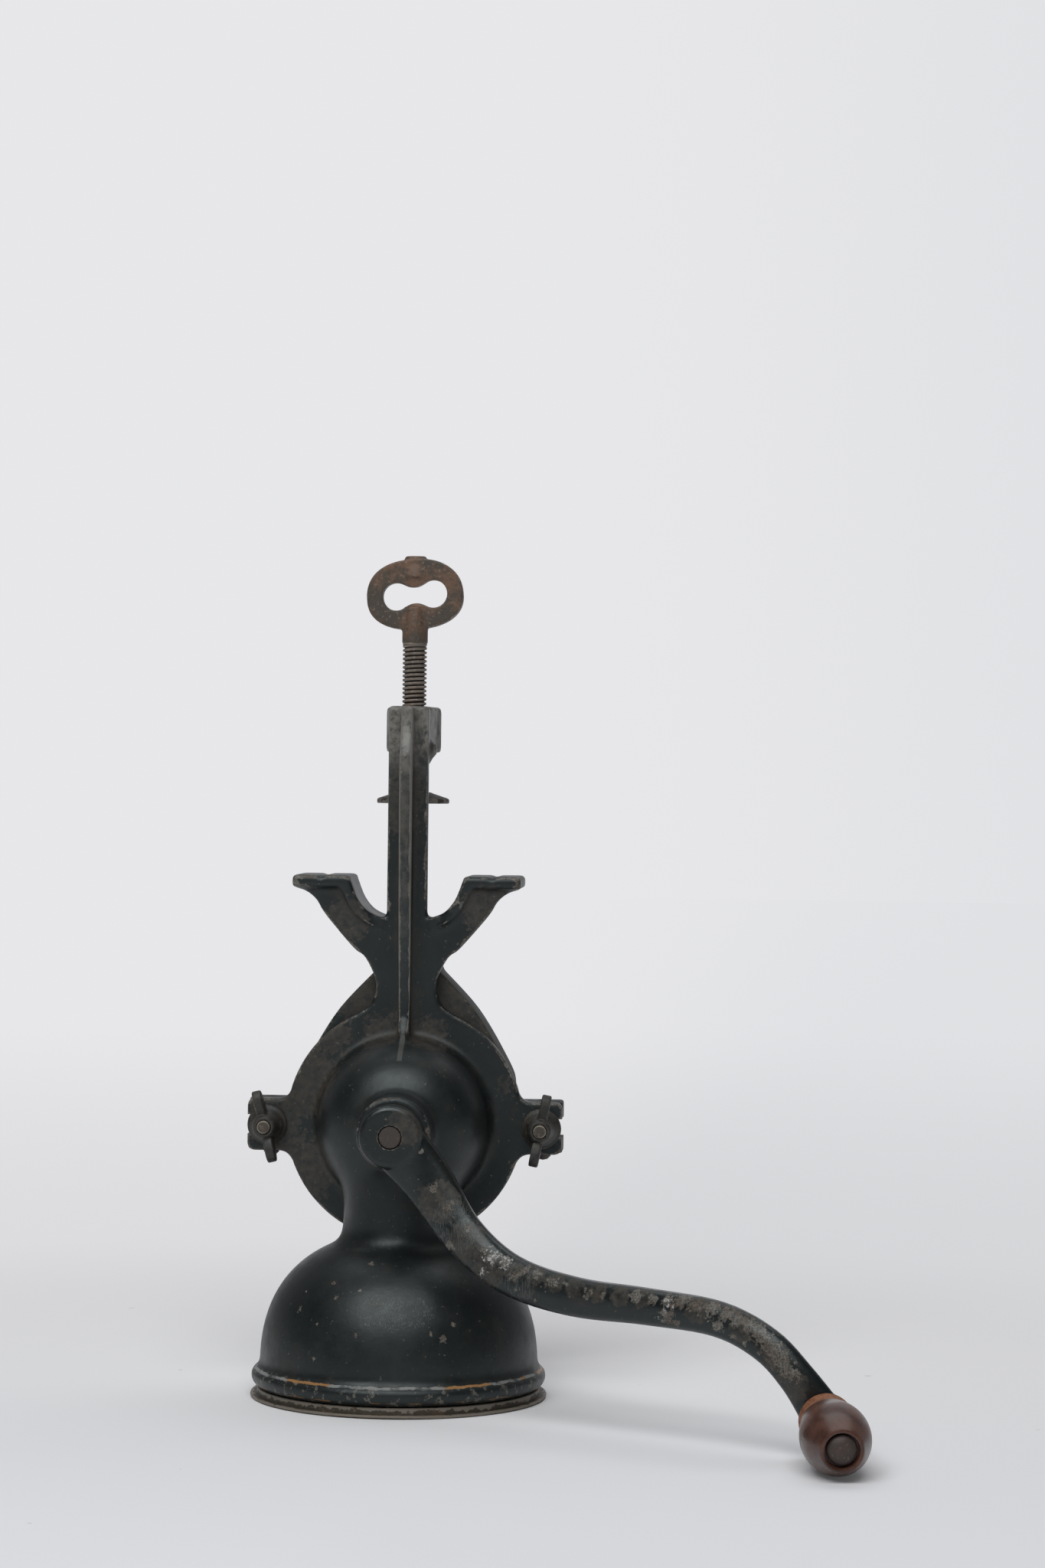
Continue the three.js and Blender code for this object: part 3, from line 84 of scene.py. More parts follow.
def line(name, points):
    """A chain of edges, drawn by pulling one vertex from point to point, in millimetres."""
    bpy.ops.object.select_all(action="DESELECT")
    bpy.ops.mesh.primitive_plane_add(size=MM, location=Vector(points[0]) * MM)
    drawn = bpy.context.object
    drawn.name = name
    bpy.ops.object.transform_apply(location=True)
    with editing(drawn):
        bpy.ops.mesh.merge(type="CENTER")
        for start, end in zip(points, points[1:]):
            step = (Vector(end) - Vector(start)) * MM
            bpy.ops.mesh.extrude_region_move(TRANSFORM_OT_translate={"value": step})
    return drawn


def close_up(form):
    """Merges doubles and turns every face outwards."""
    with editing(form):
        bpy.ops.mesh.remove_doubles(threshold=2e-6)
        bpy.ops.mesh.normals_make_consistent(inside=False)


def turned(name, profile, steps=128, axis="Z", centre=(0.0, 0.0, 0.0)):
    """A closed form spun from points of radius and height along the axis."""
    cx, cy, cz = centre
    if axis == "Z":
        points = [(cx + r, cy, cz + h) for r, h in profile]
        way = (0, 0, 1)
    else:
        points = [(cx + r, cy + h, cz) for r, h in profile]
        way = (0, 1, 0)
    form = line(name, points)
    with editing(form):
        bpy.ops.mesh.spin(steps=steps, angle=2 * math.pi, center=Vector(centre) * MM, axis=way)
    close_up(form)
    return form


def rod(name, radius, start, end, steps, axis="Y", centre=(0.0, 0.0, 0.0)):
    """A plain round bar, mostly a tool that bores a hole."""
    return turned(name, [(0, start), (radius, start), (radius, end), (0, end)], steps, axis, centre)


def slab(name, points, along):
    """A flat outline filled and pulled out along a vector."""
    form = line(name, [*points, points[0]])
    with editing(form):
        bpy.ops.mesh.remove_doubles(threshold=1e-6)
        bpy.ops.mesh.edge_face_add()
        bpy.ops.mesh.extrude_region_move(TRANSFORM_OT_translate={"value": Vector(along) * MM})
    close_up(form)
    return form


def block(name, low, high):
    size = [b - a for a, b in zip(low, high)]
    middle = Vector([(a + b) / 2 for a, b in zip(low, high)]) * MM
    bpy.ops.object.select_all(action="DESELECT")
    bpy.ops.mesh.primitive_cube_add(size=MM, location=middle, scale=size)
    form = bpy.context.object
    form.name = name
    bpy.ops.object.transform_apply(location=True, scale=True)
    return form


def put_on(form, modifier, **settings):
    """Adds a modifier with these settings and applies it."""
    only(form)
    added = form.modifiers.new(modifier, modifier)
    for key, value in settings.items():
        setattr(added, key, value)
    bpy.ops.object.modifier_apply(modifier=added.name)


def carve(form, *tools):
    for tool in tools:
        put_on(form, "BOOLEAN", operation="DIFFERENCE", solver="MANIFOLD", object=tool)
        bpy.data.objects.remove(tool)


def curve_of(points, steps):
    """A smooth line through the points."""
    last = len(points) - 1
    line_points = []
    for i in range(steps + 1):
        place = last * i / steps
        k = min(int(place), last - 1)
        w = place - k
        p0, p1, p2, p3 = (points[min(max(j, 0), last)] for j in (k - 1, k, k + 1, k + 2))
        found = []
        for a, b, c, d in zip(p0, p1, p2, p3):
            v0, v1 = (c - a) / 2, (d - b) / 2
            cubic = (2 * b - 2 * c + v0 + v1) * w**3 + (-3 * b + 3 * c - 2 * v0 - v1) * w**2
            found.append(cubic + v0 * w + b)
        line_points.append(tuple(found))
    return line_points


def bend(start, control, end, steps):
    """A quadratic bend from start to end."""
    found = []
    for i in range(steps + 1):
        t = i / steps
        found.append(tuple(
            (1 - t) ** 2 * a + 2 * t * (1 - t) * b + t * t * c for a, b, c in zip(start, control, end)
        ))
    return found


def arc(radius, start, end, steps, x=0.0, z=0.0):
    found = []
    for i in range(steps + 1):
        angle = start + (end - start) * i / steps
        found.append((x + radius * math.cos(angle), z + radius * math.sin(angle)))
    return found


def both_sides(half):
    """An outline from its right half, mirrored in X."""
    return half + [(-x, z) for x, z in reversed(half) if abs(x) > 1e-3]


def upright(outline, y):
    """Points of X and Z set up in the plane at y."""
    return [(x, y, z) for x, z in outline]


def bell_side():
    """The bell's outer side from its mouth to the neck, as radius and height."""
    foot, shoulder = (50.6, 12.2), (26.5, 54.0)
    a, b = (50.6, 33.9), (41.0, 47.3)
    side = []
    for i in range(37):
        t = i / 36
        side.append(tuple(
            (1 - t) ** 3 * p + 3 * t * (1 - t) ** 2 * q + 3 * t * t * (1 - t) * r + t**3 * s
            for p, q, r, s in zip(foot, a, b, shoulder)
        ))
    return side + bend(shoulder, (21.5, 56.3), (21, 60), 12)[1:]


def inset(points, distance):
    moved = []
    for i, point in enumerate(points):
        before, after = points[max(i - 1, 0)], points[min(i + 1, len(points) - 1)]
        dx, dy = after[0] - before[0], after[1] - before[1]
        length = math.hypot(dx, dy)
        moved.append((point[0] - dy / length * distance, point[1] + dx / length * distance))
    return moved


def neck_and_arm():
    join = math.sqrt(FLANGE_RADIUS**2 - NECK_HALF**2)
    return curve_of([
        (NECK_HALF, SHAFT_Z + join), (12.6, 142), (11.2, 150), (15.2, 158.8), (19.6, 162.3),
        (30, 174.4), (33.4, 179.8), (37.4, 183), (PAD_OUT, 184.5),
    ], 56)


def arm_inside():
    return curve_of([
        (21.3, PAD_Z), (19.4, PAD_Z - 5.4), (17.4, PAD_Z - 9.6), (13.6, PAD_Z - 13.6),
        (BAR_HALF, PAD_Z - 16.2),
    ], 24)


def plate_outline():
    low, high = EAR_Z - EAR_HALF, EAR_Z + EAR_HALF
    inner = math.sqrt(FLANGE_RADIUS**2 - EAR_HALF**2)
    below, above = -math.asin(14.9 / FLANGE_RADIUS), math.asin(12.3 / FLANGE_RADIUS)
    lower = arc(FLANGE_RADIUS, -math.pi / 2, below, 40, 0, SHAFT_Z)
    upper = arc(FLANGE_RADIUS, above, math.acos(NECK_HALF / FLANGE_RADIUS), 24, 0, SHAFT_Z)
    ear = [
        *bend(lower[-1], (inner, low), (inner + 4, low), 8)[1:],
        *bend((EAR_REACH - 2.5, low), (EAR_REACH, low), (EAR_REACH, low + 2.5), 6),
        *bend((EAR_REACH, high - 2.5), (EAR_REACH, high), (EAR_REACH - 2.5, high), 6),
        *bend((inner + 4, high), (inner, high), upper[0], 8),
    ]
    return both_sides([
        *lower, *ear, *upper[1:], *neck_and_arm()[1:], (PAD_OUT, PAD_Z), *arm_inside(),
        (BAR_HALF, SCREW_BOSS_TOP),
    ])


def bell():
    bead = [(51.3, 3.8), (52.5, 4.7), (53.3, 5.9), (53.7, 7.4), (53.6, 8.6), (53.1, 9.5), (51.6, 10.7)]
    cap = [(r, 79.5 + (z - 79.5) / 2) for r, z in arc(21, 0, math.pi / 2, 10, 0, 79.5)]
    form = turned("bell", [(0, 3.8), *bead, *bell_side(), *cap[:-1], (0, 90)])
    carve(form, block("behind", (-90, 17, 55.2), (90, 90, SHAFT_Z)))
    return form


def dome():
    side = bend((31.4, 8), (30.6, -13), (15, -18.6), 28)
    return turned("dome", [
        (0, 12), (32.6, 12), (32.4, 9.6), (31.6, 8.4), *side,
        (13.8, -20.6), (13.5, -23.6), (13.5, -33), (12.5, -34), (0, -34),
    ], 128, "Y", ON_SHAFT)


def pad_and_web(side):
    """One arm's flat pad, and the web under it, which fades into the plate near the bar."""
    top = arm_inside()
    under = list(reversed(inset(top, 4.0)))
    points = [
        (PAD_OUT, PAD_Z), (33.1, PAD_Z), (31.75, PAD_Z - 0.9), (30.4, PAD_Z), *top,
        (5.35, PAD_Z - 16.4), (5.35, PAD_Z - 20.6), *under[:-1], (24.3, PAD_Z - 4.6),
        (PAD_OUT, PAD_Z - 4.6),
    ]
    form = slab("pad", upright([(side * x, z) for x, z in points], 8), (0, 31, 0))
    for vertex in form.data.vertices:
        reach = abs(vertex.co.x) / MM
        if vertex.co.y < 9 * MM and reach < 14:
            vertex.co.y = (12.5 if reach < 9 else 9.8) * MM
    return form


def widen(form, share, chosen):
    """Scales the chosen vertices across, about the middle of the casting."""
    with editing(form):
        bpy.ops.mesh.select_mode(type="VERT")
        bpy.ops.mesh.select_all(action="DESELECT")
    for vertex in form.data.vertices:
        vertex.select = chosen(vertex.co)
    bpy.ops.object.mode_set(mode="EDIT")
    bpy.ops.transform.resize(value=(share, 1, 1), center_override=(0, 0, 0))
    bpy.ops.object.mode_set(mode="OBJECT")


def clamp_bar():
    """The bar's tapered rib, the screw's boss, the bridge to it and a rough fillet under it."""
    rib = slab("rib", [(-2.05, y, z) for y, z in [
        (3.8, SCREW_BOSS_TOP), (3.4, 244), (1.6, 239), (-0.5, 234), (-1.2, 227), (-0.6, 214),
        (1.5, 180.1), (5, 150), (4.6, 137.4), (1.5, 131), (-3.5, 126.8),
        (-9.5, 122.6), (-7, 120.9), (12, 122.4), (12, SCREW_BOSS_TOP),
    ]], (4.1, 0, 0))
    widen(rib, 1.14, lambda place: 140 * MM < place.z < 251 * MM)
    widen(rib, 0.86, lambda place: place.z < 132 * MM)
    widen(rib, 0.6, lambda place: place.z < 124 * MM)
    bridge = slab("bridge", [(-BAR_HALF, y, z) for y, z in [
        (16, SCREW_BOSS_TOP), (16, 227.6), (18, 231.6), (22, 234.6), (SCREW_Y, 234.6),
        (SCREW_Y, SCREW_BOSS_TOP),
    ]], (2 * BAR_HALF, 0, 0))
    widen(bridge, 1.36, lambda place: place.y > 30 * MM)
    boss = turned("boss", [
        (0, 234.6), (9.65, 234.6), (10.25, 235.2), (10.25, 250.6), (9.25, SCREW_BOSS_TOP),
        (0, SCREW_BOSS_TOP),
    ], 96, "Z", (0, SCREW_Y, 0))
    rough_fillet = slab("rough_fillet", upright([
        (6, 229.6), (7.6, 230.6), (8.3, 232.6), (9.7, 233.7), (9.9, 235.0), (9.9, 238), (6, 238),
    ], 17.5), (0, 3.6, 0))
    return [rib, bridge, boss, rough_fillet]


def mesh_arrays(form):
    """Vertex places, normals and edges of a mesh as arrays."""
    mesh = form.data
    places = np.empty(len(mesh.vertices) * 3)
    mesh.vertices.foreach_get("co", places)
    normals = np.empty(len(mesh.vertices) * 3)
    mesh.vertex_normals.foreach_get("vector", normals)
    edges = np.empty(len(mesh.edges) * 2, dtype=np.int64)
    mesh.edges.foreach_get("vertices", edges)
    return places.reshape(-1, 3), normals.reshape(-1, 3), edges.reshape(-1, 2)


def spread(values, edges, rounds):
    """Evens a value out over a mesh, along its edges."""
    a, b = edges.T
    count = np.bincount(a, minlength=len(values)) + np.bincount(b, minlength=len(values))
    for _ in range(rounds):
        total = np.bincount(a, values[b], len(values)) + np.bincount(b, values[a], len(values))
        values = (values + total / np.maximum(count, 1)) / 2
    return values


def hollows(form):
    """How much each vertex lies in a hollow, above 0, or on an edge, below 0."""
    places, normals, edges = mesh_arrays(form)
    a, b = edges.T
    way = places[b] - places[a]
    way /= np.maximum(np.linalg.norm(way, axis=1, keepdims=True), 1e-9)
    rise_a = (way * normals[a]).sum(1)
    rise_b = -(way * normals[b]).sum(1)
    count = np.bincount(a, minlength=len(places)) + np.bincount(b, minlength=len(places))
    rise = np.bincount(a, rise_a, len(places)) + np.bincount(b, rise_b, len(places))
    return rise / np.maximum(count, 1), edges


def smooth_where(form, weight, rounds):
    """Smooths a form, as strongly at each vertex as its weight says."""
    group = form.vertex_groups.new(name="where")
    for share in range(1, 11):
        inside = np.nonzero(np.round(weight * 10) == share)[0]
        group.add(inside.tolist(), share / 10, "REPLACE")
    put_on(form, "SMOOTH", factor=0.5, iterations=rounds, vertex_group="where")
    form.vertex_groups.clear()


def cast_over(form, grain, rounds, fillet):
    """Melts joined forms into one skin, and rounds it as sand casting does, most in its joins."""
    put_on(form, "REMESH", mode="VOXEL", voxel_size=grain * MM, use_smooth_shade=True)
    put_on(form, "SMOOTH", factor=0.5, iterations=rounds)
    rise, edges = hollows(form)
    weight = np.clip(spread(np.where(rise > 0.03, 1.0, 0.0), edges, fillet // 3 + 2) * 2.2, 0, 1)
    smooth_where(form, weight, fillet)


def melt_neck(form):
    """The dome runs down into the neck, and the neck into the bell, in one soft sweep."""
    x, y, z = mesh_arrays(form)[0].T / MM
    above_bell, below_shaft = (z - 55) / 14, (98 - z) / 10
    off_hub, before_plate = (np.hypot(x, z - SHAFT_Z) - 15.5) / 5, (11 - y) / 12
    weight = 1.0
    for share in (above_bell, below_shaft, off_hub, before_plate):
        weight = weight * np.clip(share, 0, 1)
    smooth_where(form, weight, 260)


def note_wear(form):
    """Keeps where edges stand proud and where joins lie deep, for the materials."""
    rise, edges = hollows(form)
    proud = np.clip(spread(np.clip(-rise - 0.04, 0, 1), edges, 3) * 9, 0, 1)
    deep = np.clip(spread(np.clip(rise - 0.01, 0, 1), edges, 8) * 14, 0, 1)
    for name, values in (("proud", proud), ("deep", deep)):
        kept = form.data.attributes.new(name, "FLOAT", "POINT")
        kept.data.foreach_set("value", values.astype(np.float32))


def join(name, forms):
    whole = only(*forms)
    bpy.ops.object.join()
    whole.name = name
    return whole


def dress(piece, made, body, replaced):
    """Paints a finished piece, and says which body it rides on and which node it replaces."""
    note_wear(piece)
    paint(piece, made)
    only(piece)
    bpy.ops.object.shade_smooth_by_angle(angle=math.radians(38))
    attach(piece, body)
    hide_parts(replaced)


casting = join("casting", [
    bell(),
    dome(),
    slab("plate", upright(plate_outline(), 11), (0, 6, 0)),
    pad_and_web(1),
    pad_and_web(-1),
    *clamp_bar(),
])
cast_over(casting, grain=0.88, rounds=4, fillet=16)
melt_neck(casting)
beans = turned("beans", [
    (0, -2), (49.4, -2), (49.4, 8.8), *inset(bell_side(), 3.6)[:-6], (17.2, 60), (17.2, 79.4), (0, 79.4),
])
carve(beans, block("behind_burr", (-90, 11, 53.2), (90, 90, SHAFT_Z)))


def ear_slots(start, front, rear):
    """Two blocks that cut the ears' slots for the swing bolts."""
    low, high = EAR_Z - SLOT_HALF, EAR_Z + SLOT_HALF
    return [
        block("slot_right", (start, front, low), (70, rear, high)),
        block("slot_left", (-70, front, low), (-start, rear, high)),
    ]


carve(
    casting,
    beans,
    rod("throat", 17.2, 75.4, 97, 96, "Z"),
    rod("chamber", 16.6, -13, 30, 96, "Y", ON_SHAFT),
    rod("seat", 32.1, 14, 30, 128, "Y", ON_SHAFT),
    rod("bearing", 5.3, -40, 0, 64, "Y", ON_SHAFT),
    rod("nut_hole", 4.9, 230, 260, 64, "Z", (0, SCREW_Y, 0)),
    *ear_slots(47, 0, 30),
    *[rod("screw_hole", 1.9, 6.5, 20, 24, "Y", (25 * math.cos(a), 0, SHAFT_Z + 25 * math.sin(a)))
      for a in (math.radians(90), math.radians(210), math.radians(330))],
)


class Value:
    """A number or colour that changes over a surface. Sums with it are done by Math nodes."""

    def __init__(self, socket):
        self.socket = socket

    def __add__(self, other):
        return maths("ADD", self, other)

    def __sub__(self, other):
        return maths("SUBTRACT", self, other)

    def __rsub__(self, other):
        return maths("SUBTRACT", other, self)

    def __mul__(self, other):
        return maths("MULTIPLY", self, other)

    def __truediv__(self, other):
        return maths("DIVIDE", self, other)


def node(tree, kind, inputs=None, **settings):
    """One shader node. An input is a plain value, or the Value that feeds it."""
    made = tree.nodes.new(kind)
    for key, value in settings.items():
        setattr(made, key, value)
    for key, value in (inputs or {}).items():
        if isinstance(value, Value):
            feed(value, made.inputs[key])
        else:
            made.inputs[key].default_value = value
    return made


def feed(value, socket):
    socket.id_data.links.new(value.socket, socket)


def worked(kind, output, inputs, **settings):
    """One output of a new node, in the tree of the Values that feed it."""
    tree = next(value.socket.id_data for value in inputs.values() if isinstance(value, Value))
    return Value(node(tree, kind, inputs, **settings).outputs[output])


def maths(operation, a, b=0.0, c=0.0):
    return worked("ShaderNodeMath", 0, {0: a, 1: b, 2: c}, operation=operation)


def blend(share, first, second):
    return worked("ShaderNodeMix", 2, {0: share, 6: first, 7: second}, data_type="RGBA")


def ramp(value, low, high, start=0.0, end=1.0):
    """A value eased from start to end between low and high."""
    inputs = {0: value, 1: low, 2: high, 3: start, 4: end}
    return worked("ShaderNodeMapRange", 0, inputs, interpolation_type="SMOOTHSTEP")


def noise(place, scale, detail=4.0, rough=0.55):
    inputs = {"Vector": place, "Scale": scale, "Detail": detail, "Roughness": rough}
    return worked("ShaderNodeTexNoise", "Fac", inputs)


def distance(place, point):
    return worked("ShaderNodeVectorMath", "Value", {0: place, 1: point}, operation="DISTANCE")


def place_on(tree):
    """The place on the piece, in metres."""
    return Value(node(tree, "ShaderNodeTexCoord").outputs["Object"])


def split(place):
    return [Value(part) for part in node(place.socket.id_data, "ShaderNodeSeparateXYZ", {0: place}).outputs]


def noted(tree, name):
    """What note_wear kept under this name."""
    return Value(node(tree, "ShaderNodeAttribute", attribute_name=name).outputs["Fac"])


def effect(name, inputs, outputs):
    """An empty node group with these sockets: its tree, the Values given to it and its output node."""
    tree = bpy.data.node_groups.new(name, "ShaderNodeTree")
    kinds = {"F": "NodeSocketFloat", "C": "NodeSocketColor", "V": "NodeSocketVector"}
    for key, kind, value in inputs:
        made = tree.interface.new_socket(key, in_out="INPUT", socket_type=kinds[kind])
        if value is not None:
            made.default_value = value
    for key, kind in outputs:
        tree.interface.new_socket(key, in_out="OUTPUT", socket_type=kinds[kind])
    sockets = tree.nodes.new("NodeGroupInput").outputs
    given = {key: Value(sockets[key]) for key, kind, value in inputs}
    return tree, given, tree.nodes.new("NodeGroupOutput")


def use(tree, group, inputs):
    """The Values that a group puts out, in their order."""
    return [Value(part) for part in node(tree, "ShaderNodeGroup", inputs, node_tree=group).outputs]


def chip_group():
    """A ragged chip at one place: 1 inside, joined to the chips before it."""
    tree, given, out = effect(
        "chip at a place",
        [("Before", "F", 0.0), ("Wander", "F", 0.0), ("Place", "V", None), ("Reach", "F", 0.002)],
        [("Mask", "F")],
    )
    near = distance(place_on(tree), given["Place"]) / given["Reach"] + given["Wander"]
    mask = ramp(near, 0.92, 1.0, 1.0, 0.0)
    feed(maths("MAXIMUM", mask, given["Before"]), out.inputs["Mask"])
    return tree


def wear_group():
    """Where enamel has rubbed and flaked off: on proud edges, and in scattered flecks."""
    tree, given, out = effect(
        "rubbed enamel",
        [("Edges", "F", 0.5), ("Flecks", "F", 0.3), ("Scale", "F", 160.0)],
        [("Mask", "F")],
    )
    here = place_on(tree)
    fine = noise(here, given["Scale"], 8.0, 0.68)
    edge = noted(tree, "proud") * given["Edges"]
    level = noise(here, 45.0, 3.0) * 0.35 + fine + (edge + given["Flecks"] * 0.2)
    feed(ramp(level, 0.98, 1.02), out.inputs["Mask"])
    return tree


def iron_group():
    """Bare cast iron under the enamel: grainy, grey to brown."""
    tree, given, out = effect(
        "bare cast iron",
        [("Grey", "C", (0.112, 0.105, 0.093, 1)), ("Brown", "C", (0.062, 0.046, 0.034, 1)),
         ("Rust", "F", 0.5)],
        [("Color", "C"), ("Height", "F")],
    )
    here = place_on(tree)
    grain = noise(here, 1500.0, 3.0, 0.6)
    share = ramp(noise(here, 110.0, 5.0, 0.6) + given["Rust"] * 0.4, 0.5, 0.85)
    tone = blend(share, given["Grey"], given["Brown"])
    light = ramp(grain, 0.3, 0.72, 0.45, 1.9)
    feed(worked("ShaderNodeVectorMath", 0, {0: tone, "Scale": light}, operation="SCALE"), out.inputs["Color"])
    feed(grain, out.inputs["Height"])
    return tree


def skin_group():
    """The slightly lumpy face of sand-cast iron under enamel."""
    tree, given, out = effect("cast skin", [("Lumps", "F", 0.5), ("Pores", "F", 0.5)], [("Height", "F")])
    here = place_on(tree)
    height = noise(here, 130.0, 3.0) * given["Lumps"] + noise(here, 900.0, 4.0, 0.6) * given["Pores"]
    feed(height, out.inputs["Height"])
    return tree


def scratch_group():
    """Short fine scratches that run two ways, thicker in some places."""
    tree, given, out = effect("fine scratches", [("Share", "F", 0.3)], [("Mask", "F")])
    here = place_on(tree)
    strokes = []
    for turn in ((0.5, 0.2, 0.9), (-0.8, 0.7, 0.1)):
        inputs = {"Vector": here, "Rotation": turn, "Scale": (2600, 2600, 230)}
        strokes.append(noise(worked("ShaderNodeMapping", 0, inputs), 1.0, 2.0))
    level = maths("MAXIMUM", *strokes) + noise(here, 120.0, 3.0) * 0.3 + given["Share"] * 0.2
    feed(ramp(level, 0.9, 0.95), out.inputs["Mask"])
    return tree


chip_at = chip_group()
scratched = scratch_group()
rubbed = wear_group()
bare_iron = iron_group()
cast_skin = skin_group()


def material(name):
    """A new material: itself, its tree and its Principled shader."""
    made = bpy.data.materials.new(name)
    made.use_nodes = True
    shader = made.node_tree.nodes["Principled BSDF"]
    return made, made.node_tree, shader


def paint(piece, made):
    piece.data.materials.clear()
    piece.data.materials.append(made)


def finish(shader, colour, rough, height, depth, strength):
    """Feeds a shader its colour, its roughness and its relief, which is that deep in metres."""
    inputs = {"Height": height, "Distance": depth, "Strength": strength}
    feed(colour, shader.inputs["Base Color"])
    feed(rough, shader.inputs["Roughness"])
    feed(worked("ShaderNodeBump", "Normal", inputs), shader.inputs["Normal"])


def chips(tree, before, places, ragged=5.4):
    """Chips one after another, from their places and reaches in millimetres."""
    wander = (noise(place_on(tree), 520.0, 5.0, 0.7) - 0.5) * ragged
    for x, y, z, reach in places:
        place = (x * MM, y * MM, z * MM)
        spot = {"Before": before, "Wander": wander, "Place": place, "Reach": reach * MM}
        before, = use(tree, chip_at, spot)
    return before


def enamel(name, edges, flecks, places=(), rusty_places=(), scuffed_places=(), grime=0.5, gloss=0.36):
    """Black enamel, brown where rust has crept over it, scratched, and chipped to bare iron."""
    made, tree, shader = material(name)
    here = place_on(tree)
    cloud = ramp(noise(here, 38.0, 5.0, 0.6), 0.35, 0.7)
    base = blend(cloud, (0.0062, 0.0082, 0.0086, 1), (0.0105, 0.0132, 0.0135, 1))
    creep = noise(here, 95.0, 6.0, 0.65) + noted(tree, "deep") * 0.35
    stain = ramp(creep, 0.5, 0.85, 0.0, grime)
    base = blend(stain, base, (0.034, 0.026, 0.019, 1))
    film = ramp(noise(here, 380.0, 7.0, 0.75), 0.3, 0.72, 0.1, 0.95) * chips(tree, 0.0, rusty_places, 1.6)
    base = blend(film, base, (0.058, 0.047, 0.037, 1))
    strokes, = use(tree, scratched, {"Share": chips(tree, 0.0, scuffed_places, 1.2)})
    base = blend(strokes * 0.55, base, (0.082, 0.086, 0.083, 1))
    specks = ramp(noise(here, 760.0, 2.0, 0.5), 0.7, 0.745, 0.0, 0.75)
    base = blend(specks, base, (0.1, 0.094, 0.082, 1))
    iron, grain = use(tree, bare_iron, {"Rust": 0.4})
    worn, = use(tree, rubbed, {"Edges": edges, "Flecks": flecks})
    worn = chips(tree, worn, places)
    colour = blend(worn, base, iron)
    dull = maths("MAXIMUM", stain * 0.2, film * 0.25)
    clean = ramp(noise(here, 70.0, 6.0, 0.7), 0.3, 0.75, gloss, gloss + 0.15)
    skin, = use(tree, cast_skin, {"Lumps": 0.7, "Pores": 0.24})
    height = skin - strokes * 0.08 + worn * (grain * 0.5 - 1.0) * 0.35
    shader.inputs["Specular Tint"].default_value = (0.9, 1.0, 1.0, 1)
    finish(shader, colour, worn * 0.15 + (clean + dull), height, 0.00022, 0.8)
    return made, tree, shader, colour


